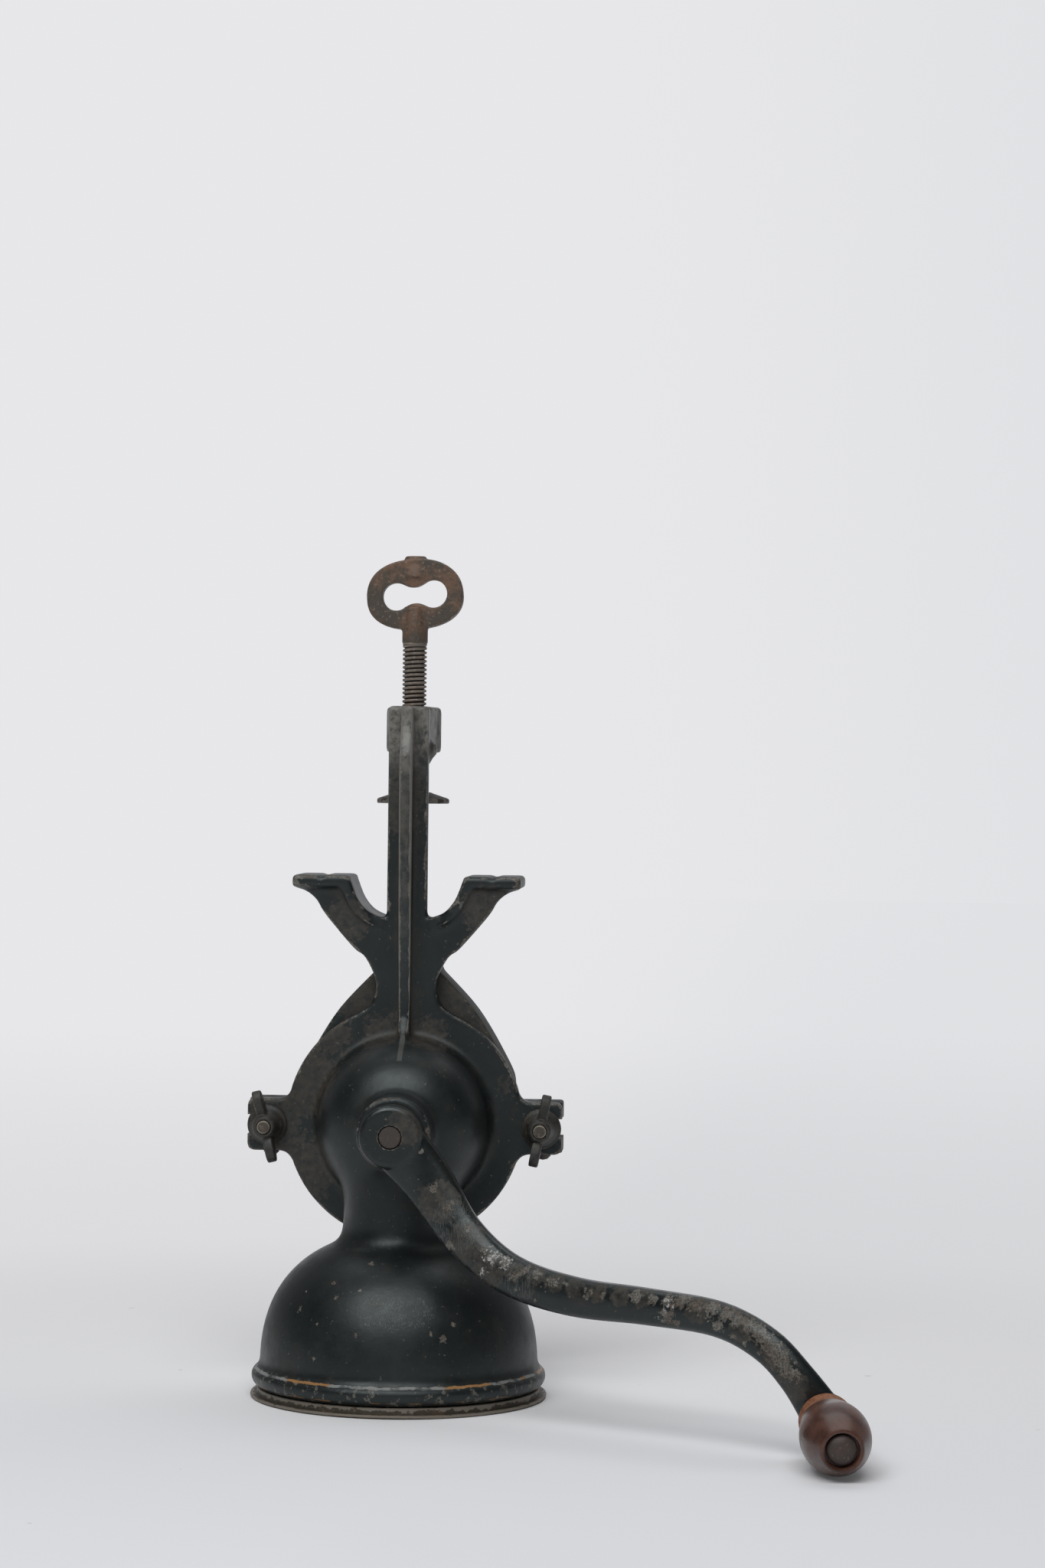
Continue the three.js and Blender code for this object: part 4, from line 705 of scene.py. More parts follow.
def bell_enamel():
    """The casting's enamel, with the worn gold line on the bead, a rubbed oval in front, painted highlights
    on the bead's crest and the rib, and painted light on the clamp boss's top.
    """
    line_z, line_half = 10.4 * MM, 0.42 * MM
    made, tree, shader, colour = enamel("casting_enamel", 0.46, 0.17, [
        (-7.5, -30.4, 51.3, 0.9), (-0.2, -0.6, 236.8, 1.1), (-0.2, -1.2, 233.6, 1.2),
        (-10.6, -39.5, 42.9, 0.6), (-20.5, -33.6, 44.6, 0.7), (-18.8, -38.5, 40.1, 0.9),
        (-30.9, -29.1, 40.8, 0.7), (-32.9, -32.1, 34.9, 0.9), (-27.8, -37.9, 32.0, 0.5),
        (-25.6, -40.1, 30.7, 0.5), (-26.3, -42.7, 18.9, 0.9), (19.7, -44.5, 27.1, 1.1),
        (22.7, -41.2, 31.8, 0.8), (15.2, -45.6, 29.1, 0.7), (-11.0, -47.1, 28.2, 0.6),
        (23.8, -12.9, 97.8, 0.5),
    ], [
        (-9, 5, 132, 9), (9, 5, 131, 9), (-48, 5, 97, 12), (-39, 5, 80, 15), (-37, 5, 113, 15),
        (-28, 5, 130, 10), (38, 5, 112, 7), (-22, 8, 172, 9), (30, 8, 176, 10), (-4, 0, 216, 16),
    ], [(-6, -44.8, 36, 6), (2.3, -45.2, 36.1, 7), (10, -44.3, 36, 6)])
    here = place_on(tree)
    x, y, z = split(here)
    ragged = (noise(here, 260.0, 6.0, 0.7) - 0.5) * 0.0016
    band = maths("COMPARE", z + ragged, line_z, line_half)
    remains = [(-28.5, -42.5, 10.4, 10.5), (27.5, -42.5, 10.4, 9.8), (46.2, -22.8, 10.4, 1.8)]
    away = ramp(noise(here, 60.0, 3.0), 0.55, 0.6) * maths("GREATER_THAN", y, -0.01)
    gold = band * maths("MAXIMUM", chips(tree, 0.0, remains, 0.9), away)
    low_band = maths("COMPARE", z + ragged * 0.6, 0.0052, 0.0002)
    faint = low_band * ramp(noise(here, 90.0, 4.0), 0.48, 0.56, 0.0, 0.6)
    colour = blend(maths("MAXIMUM", gold, faint), colour, (0.3, 0.155, 0.055, 1))
    knocks = ramp(noise(here, 330.0, 7.0, 0.74), 0.555, 0.59, 0.0, 0.8)
    bead = ramp(z, 0.0122, 0.0102) * (1.0 - gold)
    colour = blend(knocks * bead, colour, (0.13, 0.12, 0.1, 1))
    # A painted highlight: a pale patchy line along the bead's crest, where the lamp glints on it.
    crest_highlight = band * ramp(noise(here, 150.0, 5.0), 0.38, 0.55, 0.15, 0.9) * (1.0 - gold)
    colour = blend(crest_highlight, colour, (0.24, 0.245, 0.235, 1))
    aside = maths("ABSOLUTE", x) + ragged * 0.4
    in_front = maths("LESS_THAN", y, 0.006)
    # A painted highlight: lighter patchy grey down the middle of the rib's front.
    rib_highlight = maths("LESS_THAN", aside, 0.0017) * ramp(z, 0.13, 0.2)
    rib_highlight = rib_highlight * ramp(noise(here, 300.0, 7.0, 0.75), 0.35, 0.7, 0.1, 0.8)
    colour = blend(rib_highlight * in_front, colour, (0.085, 0.08, 0.072, 1))
    # Pale lines along both edges of the rib and on its tip: partly rubbed iron, partly painted highlights
    # where the lamps glint on the rounded edges.
    rib_edges = maths("COMPARE", aside, 0.00215, 0.00045) * maths("GREATER_THAN", z, 0.131)
    rib_tip = maths("LESS_THAN", aside, 0.0009) * maths("COMPARE", z, 0.1268, 0.0042) * 0.4
    rib_wear_and_highlight = maths("MAXIMUM", rib_edges, rib_tip) * in_front * 0.75
    colour = blend(rib_wear_and_highlight, colour, (0.19, 0.185, 0.17, 1))
    # The top of the clamp boss is painted lighter grey: partly rubbed by hands, partly painted light where
    # the lamps fall on its top.
    handled_and_lit = ramp(noise(here, 230.0, 7.0, 0.72), 0.36, 0.62, 0.15, 0.9)
    colour = blend(ramp(z, 0.222, 0.239) * handled_and_lit, colour, (0.2, 0.187, 0.166, 1))
    feed(colour, shader.inputs["Base Color"])
    return made


dress(casting, bell_enamel(), "mill", "hopper_casting")

# The rear casing is a second casting in the same enamel. It shuts the burr room from behind,
# carries the shaft's rear bearing and ends in the upright chute that lets the coffee out.
# Two slotted ears take the swing bolts that hold it to the front plate.
CASING_FRONT, CASING_REAR = 17.3, 40.0
PIN_X, PIN_Y = 50.6, 24


def casing_outline(wall, top):
    radius, flank = 38.5 - wall, 44.7 - wall
    side = curve_of([
        (radius * math.cos(0.1), SHAFT_Z + radius * math.sin(0.1)), (flank - 5, SHAFT_Z + 14),
        (flank - 8.4, SHAFT_Z + 23), (flank - 19.1, SHAFT_Z + 40.8),
        (12.2 - wall * 0.8, SHAFT_Z + 55.4),
    ], 30)
    return both_sides([*arc(radius, -math.pi / 2, 0, 40, 0, SHAFT_Z), *side, (11 - wall * 0.8, top)])


def casing_shell():
    form = slab("shell", upright(casing_outline(0, 157), CASING_FRONT), (0, CASING_REAR - CASING_FRONT, 0))
    only(form)
    bpy.ops.object.mode_set(mode="EDIT")
    bpy.ops.mesh.select_all(action="DESELECT")
    bpy.ops.object.mode_set(mode="OBJECT")
    for face in form.data.polygons:
        face.select = face.normal.y > 0.9
    bpy.ops.object.mode_set(mode="EDIT")
    bpy.ops.mesh.select_mode(type="FACE")
    bpy.ops.mesh.region_to_loop()
    bpy.ops.mesh.bevel(offset=2.5 * MM, segments=5)
    bpy.ops.mesh.select_mode(type="VERT")
    bpy.ops.object.mode_set(mode="OBJECT")
    return form


def casing_ear(side):
    form = block("ear", (32.5, CASING_FRONT, EAR_Z - EAR_HALF), (EAR_REACH, 28, EAR_Z + EAR_HALF))
    if side < 0:
        form.scale.x = -1
        only(form)
        bpy.ops.object.transform_apply(scale=True)
        close_up(form)
    return form


lip = rod("lip", 43.2, CASING_FRONT, 21.3, 160, "Y", ON_SHAFT)
carve(lip, block("bell_top", (-90, 8, 0), (90, 60, 55.5)))
casing = join("casing", [
    casing_shell(),
    lip,
    turned("bearing", [
        (0, 34.8), (16, 34.8), (16, 39.8), (12, 42), (11, 44), (11, 51), (10, 52), (0, 52),
    ], 96, "Y", ON_SHAFT),
    casing_ear(1),
    casing_ear(-1),
])
cast_over(casing, grain=0.75, rounds=3, fillet=14)
burr_room = slab("burr_room", upright(casing_outline(4.2, 160), 12), (0, 23.8, 0))
front_wall = block("front_wall", (-90, 5, SHAFT_Z), (90, 20.5, 170))
carve(front_wall, rod("gap", 39.5, 0, 30, 128, "Y", ON_SHAFT))
carve(burr_room, front_wall, rod("inner_boss", 8.5, 30.3, 40, 64, "Y", ON_SHAFT))
carve(
    casing,
    burr_room,
    rod("tail_hole", 4.3, 10, 80, 64, "Y", ON_SHAFT),
    *ear_slots(44.9, 10, 40),
    *[rod("pin_hole", 2.1, 80, 120, 32, "Z", (side * PIN_X, PIN_Y, 0)) for side in (1, -1)],
)
casing_enamel = enamel("casing_enamel", 0.36, 0.16, [
    (-30, 25, 136, 2), (22, 41, 120, 3), (-12, 41, 80, 2),
], [
    (-20, 17, 150, 14), (20, 17, 147, 15), (32, 18, 132, 12), (40, 26, 118, 12), (-38, 28, 118, 12),
    (0, 41, 98, 22),
], gloss=0.52)[0]
dress(casing, casing_enamel, "mill", "rear_casing")

# The hopper lid is a disc of thin sheet, pressed with a ring that centres it in the bell's
# mouth. The mill stands on it upside down, so its turned-out rim shows all round, rusty.
lid = turned("lid", [
    (0, 0), (43.6, 0), (44.1, 0.6), (44.5, 5.2), (45, 5.5), (47.6, 5.5), (48, 5.2), (48.1, 2.6),
    (48.4, 2.5), (49.8, 2.5), (50.1, 2.3), (50.5, 0.2), (50.9, 0), (53.6, 0), (53.9, 0.2),
    (54, 0.5), (53.9, 0.8), (53.6, 1), (52.2, 1), (51.7, 1.2), (51.4, 3.2), (51, 3.5),
    (49.2, 3.5), (48.95, 3.7), (48.9, 6.2), (48.5, 6.5), (44.9, 6.5), (44.4, 6.3), (43.6, 1.4),
    (43, 1), (0, 1),
], 192)
for vertex in lid.data.vertices:
    x, y, z = vertex.co
    rim = max(math.hypot(x, y) / MM - 51, 0) / 3
    turn = math.atan2(y, x)
    vertex.co.z += rim * MM * (0.16 + 0.1 * math.sin(3 * turn + 0.8) + 0.06 * math.sin(7 * turn))


def rusty(name, dark, rust, pale, rust_share=0.5, shine=0.5, hollow_shade=0.0, metal=0.35):
    """Old rusted iron or sheet: dark skin, brown rust, pale rubbed metal on the edges, and painted shade
    darkening its hollows.
    """
    made, tree, shader = material(name)
    here = place_on(tree)
    patch = noise(here, 110.0, 7.0, 0.68)
    fine = noise(here, 820.0, 6.0, 0.7)
    rusted = ramp(patch + fine * 0.3, 0.8 - rust_share * 0.4, 0.98 - rust_share * 0.3)
    colour = blend(rusted, dark, rust)
    colour = blend(ramp(fine, 0.56, 0.68, 0.0, 0.7), colour, pale)
    worn, = use(tree, rubbed, {"Edges": shine, "Flecks": 0.0, "Scale": 240.0})
    colour = blend(worn * 0.75, colour, pale)
    # Painted shade: the hollows, such as a thread's roots, are darkened towards black.
    colour = blend(noted(tree, "deep") * hollow_shade, colour, (0.014, 0.011, 0.009, 1))
    height = patch * 0.8 + fine * 0.35
    finish(shader, colour, ramp(fine, 0.3, 0.7, 0.42, 0.68), height, 0.00025, 0.8)
    shader.inputs["Metallic"].default_value = metal
    return made


lid_rust = rusty("lid_rust", (0.055, 0.047, 0.034, 1), (0.1, 0.066, 0.043, 1), (0.27, 0.24, 0.2, 1), 0.45)
dress(lid, lid_rust, "lid", "hopper_lid")

# The two burrs and the worm are bare grey iron, ground bright on the teeth. The worm and the
# turning burr sit on the shaft. They are seen only through the chute or the hopper's mouth.
burr_iron = rusty(
    "burr_iron", (0.09, 0.086, 0.08, 1), (0.075, 0.055, 0.04, 1), (0.3, 0.29, 0.28, 1), 0.2, 0.4, metal=0.7)
for name in ("fixed_burr", "rotating_burr", "feed_worm"):
    paint(frame["nodes"][name], burr_iron)

# The shaft, its pin, the burr screws and the pins of the swing bolts are dark mild steel.
# A hard ball takes the shaft's thrust behind. All are turned parts, dulled by oil and age.
turned_steel = rusty(
    "turned_steel", (0.06, 0.05, 0.045, 1), (0.07, 0.05, 0.04, 1), (0.22, 0.2, 0.18, 1), 0.35)
for name in ("main_shaft", "worm_pin", "fixed_burr_screw_1", "fixed_burr_screw_2", "fixed_burr_screw_3",
             "swing_pin_left", "swing_pin_right", "thrust_ball"):
    paint(frame["nodes"][name], turned_steel)

# Domed washers sit under the wing nuts that pull the two castings together. They are small
# iron castings, blacked like the mill and rubbed by fingers.


def set_in(form, place):
    """Moves and turns a form by a matrix, and keeps the place in its mesh."""
    only(form)
    form.matrix_world = place
    bpy.ops.object.transform_apply(location=True, rotation=True, scale=True)
    return form


def copied(name, source):
    """A piece with a mesh of its own, copied from another."""
    made = bpy.data.objects.new(name, source.data.copy())
    bpy.context.scene.collection.objects.link(made)
    return made


nut_enamel = enamel("nut_enamel", 0.46, 0.3, (), [(-51, -5, 97, 22), (51, -5, 97, 22)], grime=0.8)[0]
for side in ("left", "right"):
    washer = copied(f"wing_washer_{side}_cast", frame["nodes"][f"wing_washer_{side}"])
    close_up(washer)
    cast_over(washer, grain=0.34, rounds=5, fillet=8)
    dress(washer, nut_enamel, f"washer_{side}", f"wing_washer_{side}")

# Each wing nut is a small iron casting: a coned hub with two thin round-edged wings that
# lean forward. One is modelled upright, and each copy is turned as its nut happened to stop.
NUT_HEIGHT, NUT_BORE = 9.0, 2.75


def wing(side):
    edge = curve_of([
        (-1.2, 3.4), (-2.0, 8.2), (-3.6, 11.8), (-6.0, 13.4), (-8.2, 12.2), (-8.9, 9.4), (-8.0, 5.6),
        (-6.4, 3.0),
    ], 28)
    form = slab("wing", [(-1.75, y, side * z) for y, z in edge], (3.5, 0, 0))
    round_off(form, 1.3)
    return form


def round_off(form, width):
    """Bevels the sharp edges round."""
    put_on(form, "BEVEL", width=width * MM, segments=3, limit_method="ANGLE", angle_limit=math.radians(50))


nut = join("nut", [
    turned("nut_hub", [
        (0, 0), (6.2, 0), (6.2, -0.9), (5.0, -2.6), (4.4, -5.2), (4.1, -8.2), (3.5, -NUT_HEIGHT),
        (0, -NUT_HEIGHT),
    ], 64, "Y"),
    wing(1),
    wing(-1),
])
cast_over(nut, grain=0.3, rounds=3, fillet=10)
carve(nut, rod("bore", NUT_BORE, -12, 3, 48))
for side, turn in (("left", -14), ("right", 11)):
    low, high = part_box(f"wing_nut_{side}")
    seat = Vector(((low[0] + high[0]) / 2, high[1], (low[2] + high[2]) / 2))
    piece = copied(f"wing_nut_{side}_cast", nut)
    set_in(piece, Matrix.Translation(seat) @ Matrix.Rotation(math.radians(turn), 4, "Y"))
    dress(piece, nut_enamel, f"nut_{side}", f"wing_nut_{side}")
bpy.data.objects.remove(nut)

# The swing bolts are eye bolts of mild steel, which pass through the ears' slots. Only their
# ends show, in the wing nuts, with a pale ring round the end: rubbed brighter, and partly a painted highlight
# on its rim.


def bolt_end():
    """Rusty steel, with a pale ring painted round the middle of each nut: rubbed metal and a painted
    highlight.
    """
    made = rusty(
        "bolt_steel", (0.075, 0.062, 0.05, 1), (0.1, 0.075, 0.052, 1), (0.36, 0.31, 0.23, 1), 0.35)
    base = made.node_tree.nodes["Principled BSDF"].inputs["Base Color"]
    here = place_on(made.node_tree)
    x, y, z = split(here)
    across = worked("ShaderNodeCombineXYZ", 0, {0: maths("ABSOLUTE", x), 2: z})
    ragged = (noise(here, 700.0, 4.0) - 0.5) * 0.0005
    # Rubbed metal with a painted highlight: a pale ring round each bolt's end.
    ring = maths("COMPARE", distance(across, (abs(seat.x), 0, seat.z)) + ragged, 0.00215, 0.00022)
    feed(blend(ring, Value(base.links[0].from_socket), (0.24, 0.22, 0.18, 1)), base)
    return made


bolt_steel = bolt_end()
for name in ("swing_bolt_left", "swing_bolt_right"):
    paint(frame["nodes"][name], bolt_steel)

# The adjusting screw sets the gap between the burrs from behind: a threaded spindle with a
# flat two-sided wing to turn it by.
paint(frame["nodes"]["adjusting_screw"], turned_steel)

# The crank is one iron casting with a flat back and a rounded front. It leaves the hub
# downwards, swings forward and level, and drops to the eye that holds the knob's rivet.
# Its enamel has chipped most along the upper side, where it is knocked and gripped.
HUB_FRONT, HUB_REAR = -46.5, -36.5
EYE_HALF = 3.0
ARM_SIDES = 28
KNOB_TILT = math.radians(6.5)
joints = {joint["name"]: joint for joint in frame["joints"]}
eye = Vector(joints["knob_spin"]["pos_m"]) / MM
CRANK_RADIUS = math.hypot(eye.x, eye.z - SHAFT_Z)
crank_angle = math.atan2(SHAFT_Z - eye.z, eye.x)
crank_turn = Matrix.Translation((0, 0, SHAFT_Z * MM)) @ Matrix.Rotation(crank_angle, 4, "Y")
handle_place = (
    Matrix.Translation((CRANK_RADIUS * MM, eye.y * MM, 0)) @ Matrix.Rotation(math.pi + KNOB_TILT, 4, "Z")
)


def arm_line(steps):
    """The middle line of the arm, from the hub to the eye."""
    middle = (HUB_REAR + HUB_FRONT) / 2
    forward = middle - eye.y
    return [Vector(p) for p in curve_of([
        (u * CRANK_RADIUS, middle - y * forward, v * CRANK_RADIUS) for u, v, y in [
            (0, 0, 0), (0.11, -0.04, 0.015), (0.225, -0.094, 0.08), (0.345, -0.11, 0.21),
            (0.475, -0.074, 0.4), (0.61, -0.005, 0.62), (0.735, 0.053, 0.82),
            (0.835, 0.063, 0.945), (0.92, 0.039, 1.005), (1, 0, 1),
        ]
    ], steps)]


def arm_ring(centre, way, width, thick):
    """One section across the arm: a flat back with soft corners and a rounded front."""
    across = Vector((-way.z, 0, way.x)).normalized()
    front = way.cross(across).normalized()
    if front.y > 0:
        front.negate()
    ring = []
    for k in range(ARM_SIDES):
        angle = 2 * math.pi * (k + 0.5) / ARM_SIDES
        c, s = math.cos(angle), math.sin(angle)
        power = 0.85 if s > 0 else 0.45
        w = math.copysign(abs(c) ** power, c) * width / 2
        n = math.copysign(abs(s) ** power, s) * thick / 2
        ring.append(centre + across * w + front * n)
    return [*ring, ring[0]]


def arm_bar():
    steps = 54
    points = arm_line(steps)
    sizes = curve_of(list(zip([20.5, 18, 15.2, 14.3, 13.6, 12.5, 12, 12, 12.4, 15],
                              [9, 8.6, 8.8, 9.2, 9.4, 9.2, 8.8, 8, 7, 5.4])), steps)
    rings = []
    for i, (point, (width, thick)) in enumerate(zip(points, sizes)):
        way = (points[min(i + 1, steps)] - points[max(i - 1, 0)]).normalized()
        rings.append(line("ring", arm_ring(point, way, width, thick)))
    bar = join("bar", rings)
    with editing(bar):
        bpy.ops.mesh.remove_doubles(threshold=1e-6)
        bpy.ops.mesh.bridge_edge_loops()
        bpy.ops.mesh.select_all(action="SELECT")
        bpy.ops.mesh.fill_holes(sides=0)
    close_up(bar)
    return bar


def at_eye(form):
    return set_in(form, handle_place)


arm = join("crank_arm_cast", [
    arm_bar(),
    turned("hub", [
        (0, HUB_FRONT), (9.6, HUB_FRONT), (10.7, -46), (11.2, -44.9), (11.2, -37.3), (10.4, HUB_REAR),
        (0, HUB_REAR),
    ], 96, "Y"),
    at_eye(turned("eye", [
        (0, -EYE_HALF), (7.6, -EYE_HALF), (8.4, -2.6), (8.6, -2), (8.6, 2), (8.4, 2.6), (7.6, EYE_HALF),
        (0, EYE_HALF),
    ], 80, "Y")),
])
cast_over(arm, grain=0.5, rounds=3, fillet=12)
carve(
    arm,
    at_eye(rod("front_flat", 11.6, EYE_HALF, 29, 64)),
    at_eye(rod("rear_flat", 6.6, -29, -EYE_HALF, 64)),
    at_eye(rod("rivet_hole", 3.2, -20, 20, 48)),
    rod("behind_hub", 19.2, HUB_REAR, -27.5, 64),
    rod("shaft_hole", 4.3, -56, -27, 64),
)
set_in(arm, crank_turn)
arm_chips = [
    (11.2, -45.6, 93.3, 0.8), (15.8, -47.2, 80.8, 1.3), (21.7, -48.7, 74.6, 1.5), (28.2, -51.3, 67, 1.2),
    (21.7, -50, 60.8, 1.7), (33.5, -55, 60.5, 1.2), (38.1, -57.2, 58, 2.2), (42.2, -59, 56.9, 2.2),
    (45.1, -62, 52.3, 1.4), (49.2, -63.2, 54.2, 1.9), (53.9, -65.5, 53.8, 1.7), (59.4, -69.6, 51.2, 1.9),
    (64, -72.5, 51.5, 1.2), (71.7, -77.5, 48.6, 1.6), (77, -80.4, 48.8, 1.2), (88.5, -86.5, 49.6, 2.0),
    (94, -90.2, 49.2, 2.0), (99.1, -93.5, 43.5, 2.6), (99.5, -92.8, 49, 2.4), (104.3, -95, 49.3, 2.9),
    (109.5, -98.2, 48.6, 2.8), (114.7, -100.9, 47.6, 3.1), (116.5, -103.5, 42.2, 2.0),
    (119.3, -103.2, 46.6, 2.8), (123.7, -105.4, 44.9, 2.9), (127, -107, 43.3, 2.7),
    (130.2, -108.8, 41, 2.9), (133, -110.4, 38.6, 2.9), (135.4, -111.6, 36.2, 2.9),
    (137.6, -112.6, 33.6, 3.0), (139.3, -113.4, 31, 3.0), (141.4, -114.1, 28.6, 2.7),
    (102.3, -94.8, 41.9, 1.5), (121.7, -106.2, 39.3, 1.1), (125.6, -108.2, 37.2, 0.8),
    (130.7, -110.8, 34.6, 0.8), (133.3, -111.9, 32.3, 0.8), (34.1, -56.4, 52.5, 1.2),
    (53.2, -66.7, 44.3, 0.5), (46.3, -63.2, 47.4, 0.5),
]
arm_rust = [
    (6, -46, 102, 7), (18, -49, 76, 8), (28, -53, 62, 8), (36, -57, 54, 7), (141, -114, 24, 6),
    (45, -62, 54, 4), (53, -66, 53.2, 4), (60, -70, 51.6, 4), (67, -74, 50.5, 4), (75, -79, 49.5, 4),
    (83, -84, 49.4, 4), (91, -88, 49.4, 4), (110, -98, 46.5, 5), (125, -106, 41.5, 5), (136, -112, 33, 5),
]
arm_enamel, tree, shader, colour = enamel(
    "arm_enamel", 0.36, 0.3, arm_chips, arm_rust, [(24, -50, 68, 10), (48, -63, 52, 8)], 0.7, 0.27)
flakes = [(37.6, -57, 58.6, 3.2), (42.5, -59.5, 56.5, 2.6), (34.5, -56.5, 52.6, 1.8), (99.5, -93, 48, 2)]
bright = ramp(noise(place_on(tree), 900.0, 4.0, 0.7), 0.5, 0.58, 0.0, 0.9) * chips(tree, 0.0, flakes)
feed(blend(bright, colour, (0.4, 0.4, 0.39, 1)), shader.inputs["Base Color"])
dress(arm, arm_enamel, "crank", "crank_arm")

# The knob is a turned and varnished hardwood barrel that spins on a long rivet. The varnish
# has worn to bare orange wood round its neck, next to the crank's eye.
KNOB_START = 3.3
BORE_END = 43.3
knob_place = crank_turn @ handle_place
knob_side = curve_of([
    (9.3, 3.5), (9.0, 7.6), (9.8, 13.0), (11.2, 21.6), (11.7, 29.1), (10.5, 37.1), (7.4, 45.4),
], 60)
knob = turned("knob", [
    (3.2, KNOB_START), (9.0, KNOB_START), *knob_side, (7.0, 46.1), (6.4, 46.3), (5.9, 46.1),
    (5.7, 45.7), (5.7, BORE_END), (3.2, BORE_END), (3.2, KNOB_START),
], 128, "Y")
set_in(knob, knob_place)


def wood():
    """Dark red varnish over orange hardwood, bare and ragged where the neck has worn."""
    made, tree, shader = material("varnished_knob")
    upright_knob = {"Vector": place_on(tree), "Location": knob_place.translation,
                    "Rotation": knob_place.to_euler()}
    own = worked("ShaderNodeMapping", 0, upright_knob, vector_type="TEXTURE")
    x, y, z = split(own)
    grain = noise(worked("ShaderNodeCombineXYZ", 0, {0: x, 1: y * 0.12, 2: z}), 900.0, 5.0, 0.6)
    cloud = noise(own, 110.0, 5.0, 0.6)
    varnish = blend(ramp(cloud, 0.35, 0.7), (0.05, 0.019, 0.0125, 1), (0.11, 0.046, 0.029, 1))
    varnish = blend(ramp(grain, 0.45, 0.75, 0.0, 0.5), varnish, (0.03, 0.0105, 0.0065, 1))
    orange = blend(ramp(grain, 0.35, 0.65), (0.29, 0.125, 0.058, 1), (0.17, 0.06, 0.028, 1))
    edge = y + (noise(own, 330.0, 6.0, 0.7) - 0.5) * 0.012
    worn, = use(tree, rubbed, {"Edges": 0.18, "Flecks": -0.4, "Scale": 300.0})
    bare = maths("MAXIMUM", ramp(edge - z * 0.4, 0.0122, 0.0128, 1.0, 0.0), worn)
    rough = ramp(cloud, 0.3, 0.7, 0.24, 0.42) + bare * 0.35
    finish(shader, blend(bare, varnish, orange), rough, grain * 0.25 - bare * 0.6, 0.00018, 0.7)
    return made


dress(knob, wood(), "knob", "crank_knob")

# The knob's rivet is mild steel. It is upset behind the crank's eye and domed over in the
# recess at the knob's far end, and the knob turns on it.
rivet_head = [(5.1 * math.cos(t * math.pi / 24), 44.2 + 2.5 * math.sin(t * math.pi / 24)) for t in range(12)]
rivet = turned("rivet", [
    (0, -5.3), (2.4, -5.2), (3.8, -4.7), (4.5, -4.0), (4.6, -3.3), (2.9, -3.3), (2.9, 43.6),
    (5.0, 43.6), (5.1, 43.8), *rivet_head, (0, 46.7),
], 96, "Y")
set_in(rivet, knob_place)
rivet_steel = rusty(
    "rivet_steel", (0.06, 0.045, 0.04, 1), (0.095, 0.06, 0.047, 1), (0.19, 0.16, 0.145, 1), 0.35, 0.3)
dress(rivet, rivet_steel, "crank", "knob_rivet")

# The clamp screw is a forged bar with a cut thread, and its key head is cast or forged as a
# ring with a waisted finger hole. Nothing but rust covers it. Its foot is held in the
# pressure plate, a turned cup that bears on the other side of the table top from the pads.
PRESS_Z = 215.6
SCREW_PITCH = 1.5875
SCREW_RADIUS, THREAD_DEPTH = 4.5, 0.88
THREAD_LOW, THREAD_HIGH = 4.8, 59.3
KEY_MIDDLE, KEY_LEAN = 77.1, math.radians(-5)


def on_screw(name, profile, steps):
    """A form turned about the clamp screw, with heights from the pressure plate's face."""
    return turned(name, [(r, z + PRESS_Z) for r, z in profile], steps, "Z", (0, SCREW_Y, 0))


thread_rows = [(SCREW_RADIUS, THREAD_LOW + 0.1 * i) for i in range(int((THREAD_HIGH - THREAD_LOW) * 10))]
screw = on_screw("screw", [
    (0, 0.2), (4.0, 0.2), (4.2, 0.4), (4.2, 0.9), (4.0, 1.1), (3.0, 1.2), (3.0, 4.5), (3.7, 4.5),
    *thread_rows, (4.5, 59.4), (4.6, 60.0), (4.6, 64), (0, 64),
], 72)
for vertex in screw.data.vertices:
    x, y, z = vertex.co.x / MM, vertex.co.y / MM - SCREW_Y, vertex.co.z / MM - PRESS_Z
    if math.hypot(x, y) > 4.4 and THREAD_LOW - 0.05 < z < THREAD_HIGH + 0.05:
        phase = (z / SCREW_PITCH - math.atan2(y, x) / (2 * math.pi)) % 1
        slope = min(max((abs(2 * phase - 1) - 0.3) / 0.7, 0), 1)
        fade = min((z - THREAD_LOW) / 0.8, (THREAD_HIGH - z) / 1.6, 1)
        depth = THREAD_DEPTH * slope * slope * (3 - 2 * slope) * max(fade, 0)
        share = 1 - depth / SCREW_RADIUS
        vertex.co.x, vertex.co.y = x * share * MM, (SCREW_Y + y * share) * MM
# Painted light: the thread's rust is painted a good deal lighter than the key's, standing in for the brighter
# light on the screw.
lit_thread_rust = rusty(
    "lit_thread_rust", (0.17, 0.142, 0.119, 1), (0.21, 0.155, 0.118, 1), (0.44, 0.39, 0.34, 1), 0.4, 0.5, 0.85)
dress(screw, lit_thread_rust, "screw", "clamp_screw")


def key_outline():
    """The ring's outer edge, squarish, and taller above its middle than below."""
    half_width, squareness = 18, 0.86
    outer = []
    for i in range(96):
        angle = 2 * math.pi * i / 96
        c, s = math.cos(angle), math.sin(angle)
        rise = 14.2 if s > 0 else 12.0
        x = math.copysign(abs(c) ** squareness, c) * half_width
        outer.append((x, math.copysign(abs(s) ** squareness, s) * rise))
    return outer


def finger_hole():
    """Two round lobes joined by a waist, a little above the ring's middle."""
    middle, waist_half = 0.7, 3.05
    lobe = math.radians(115)
    right = arc(5.2, -lobe, lobe, 28, 6.95, middle)
    left = [(-x, 2 * middle - z) for x, z in right]
    waist = curve_of([right[-1], (2.2, 4.1), (0, middle + waist_half), (-2.2, 4.1), left[0]], 12)
    low = curve_of([left[-1], (-2.2, -2.7), (0, middle - waist_half), (2.2, -2.7), right[0]], 12)
    return [*right, *waist[1:-1], *left, *low[1:-1]]


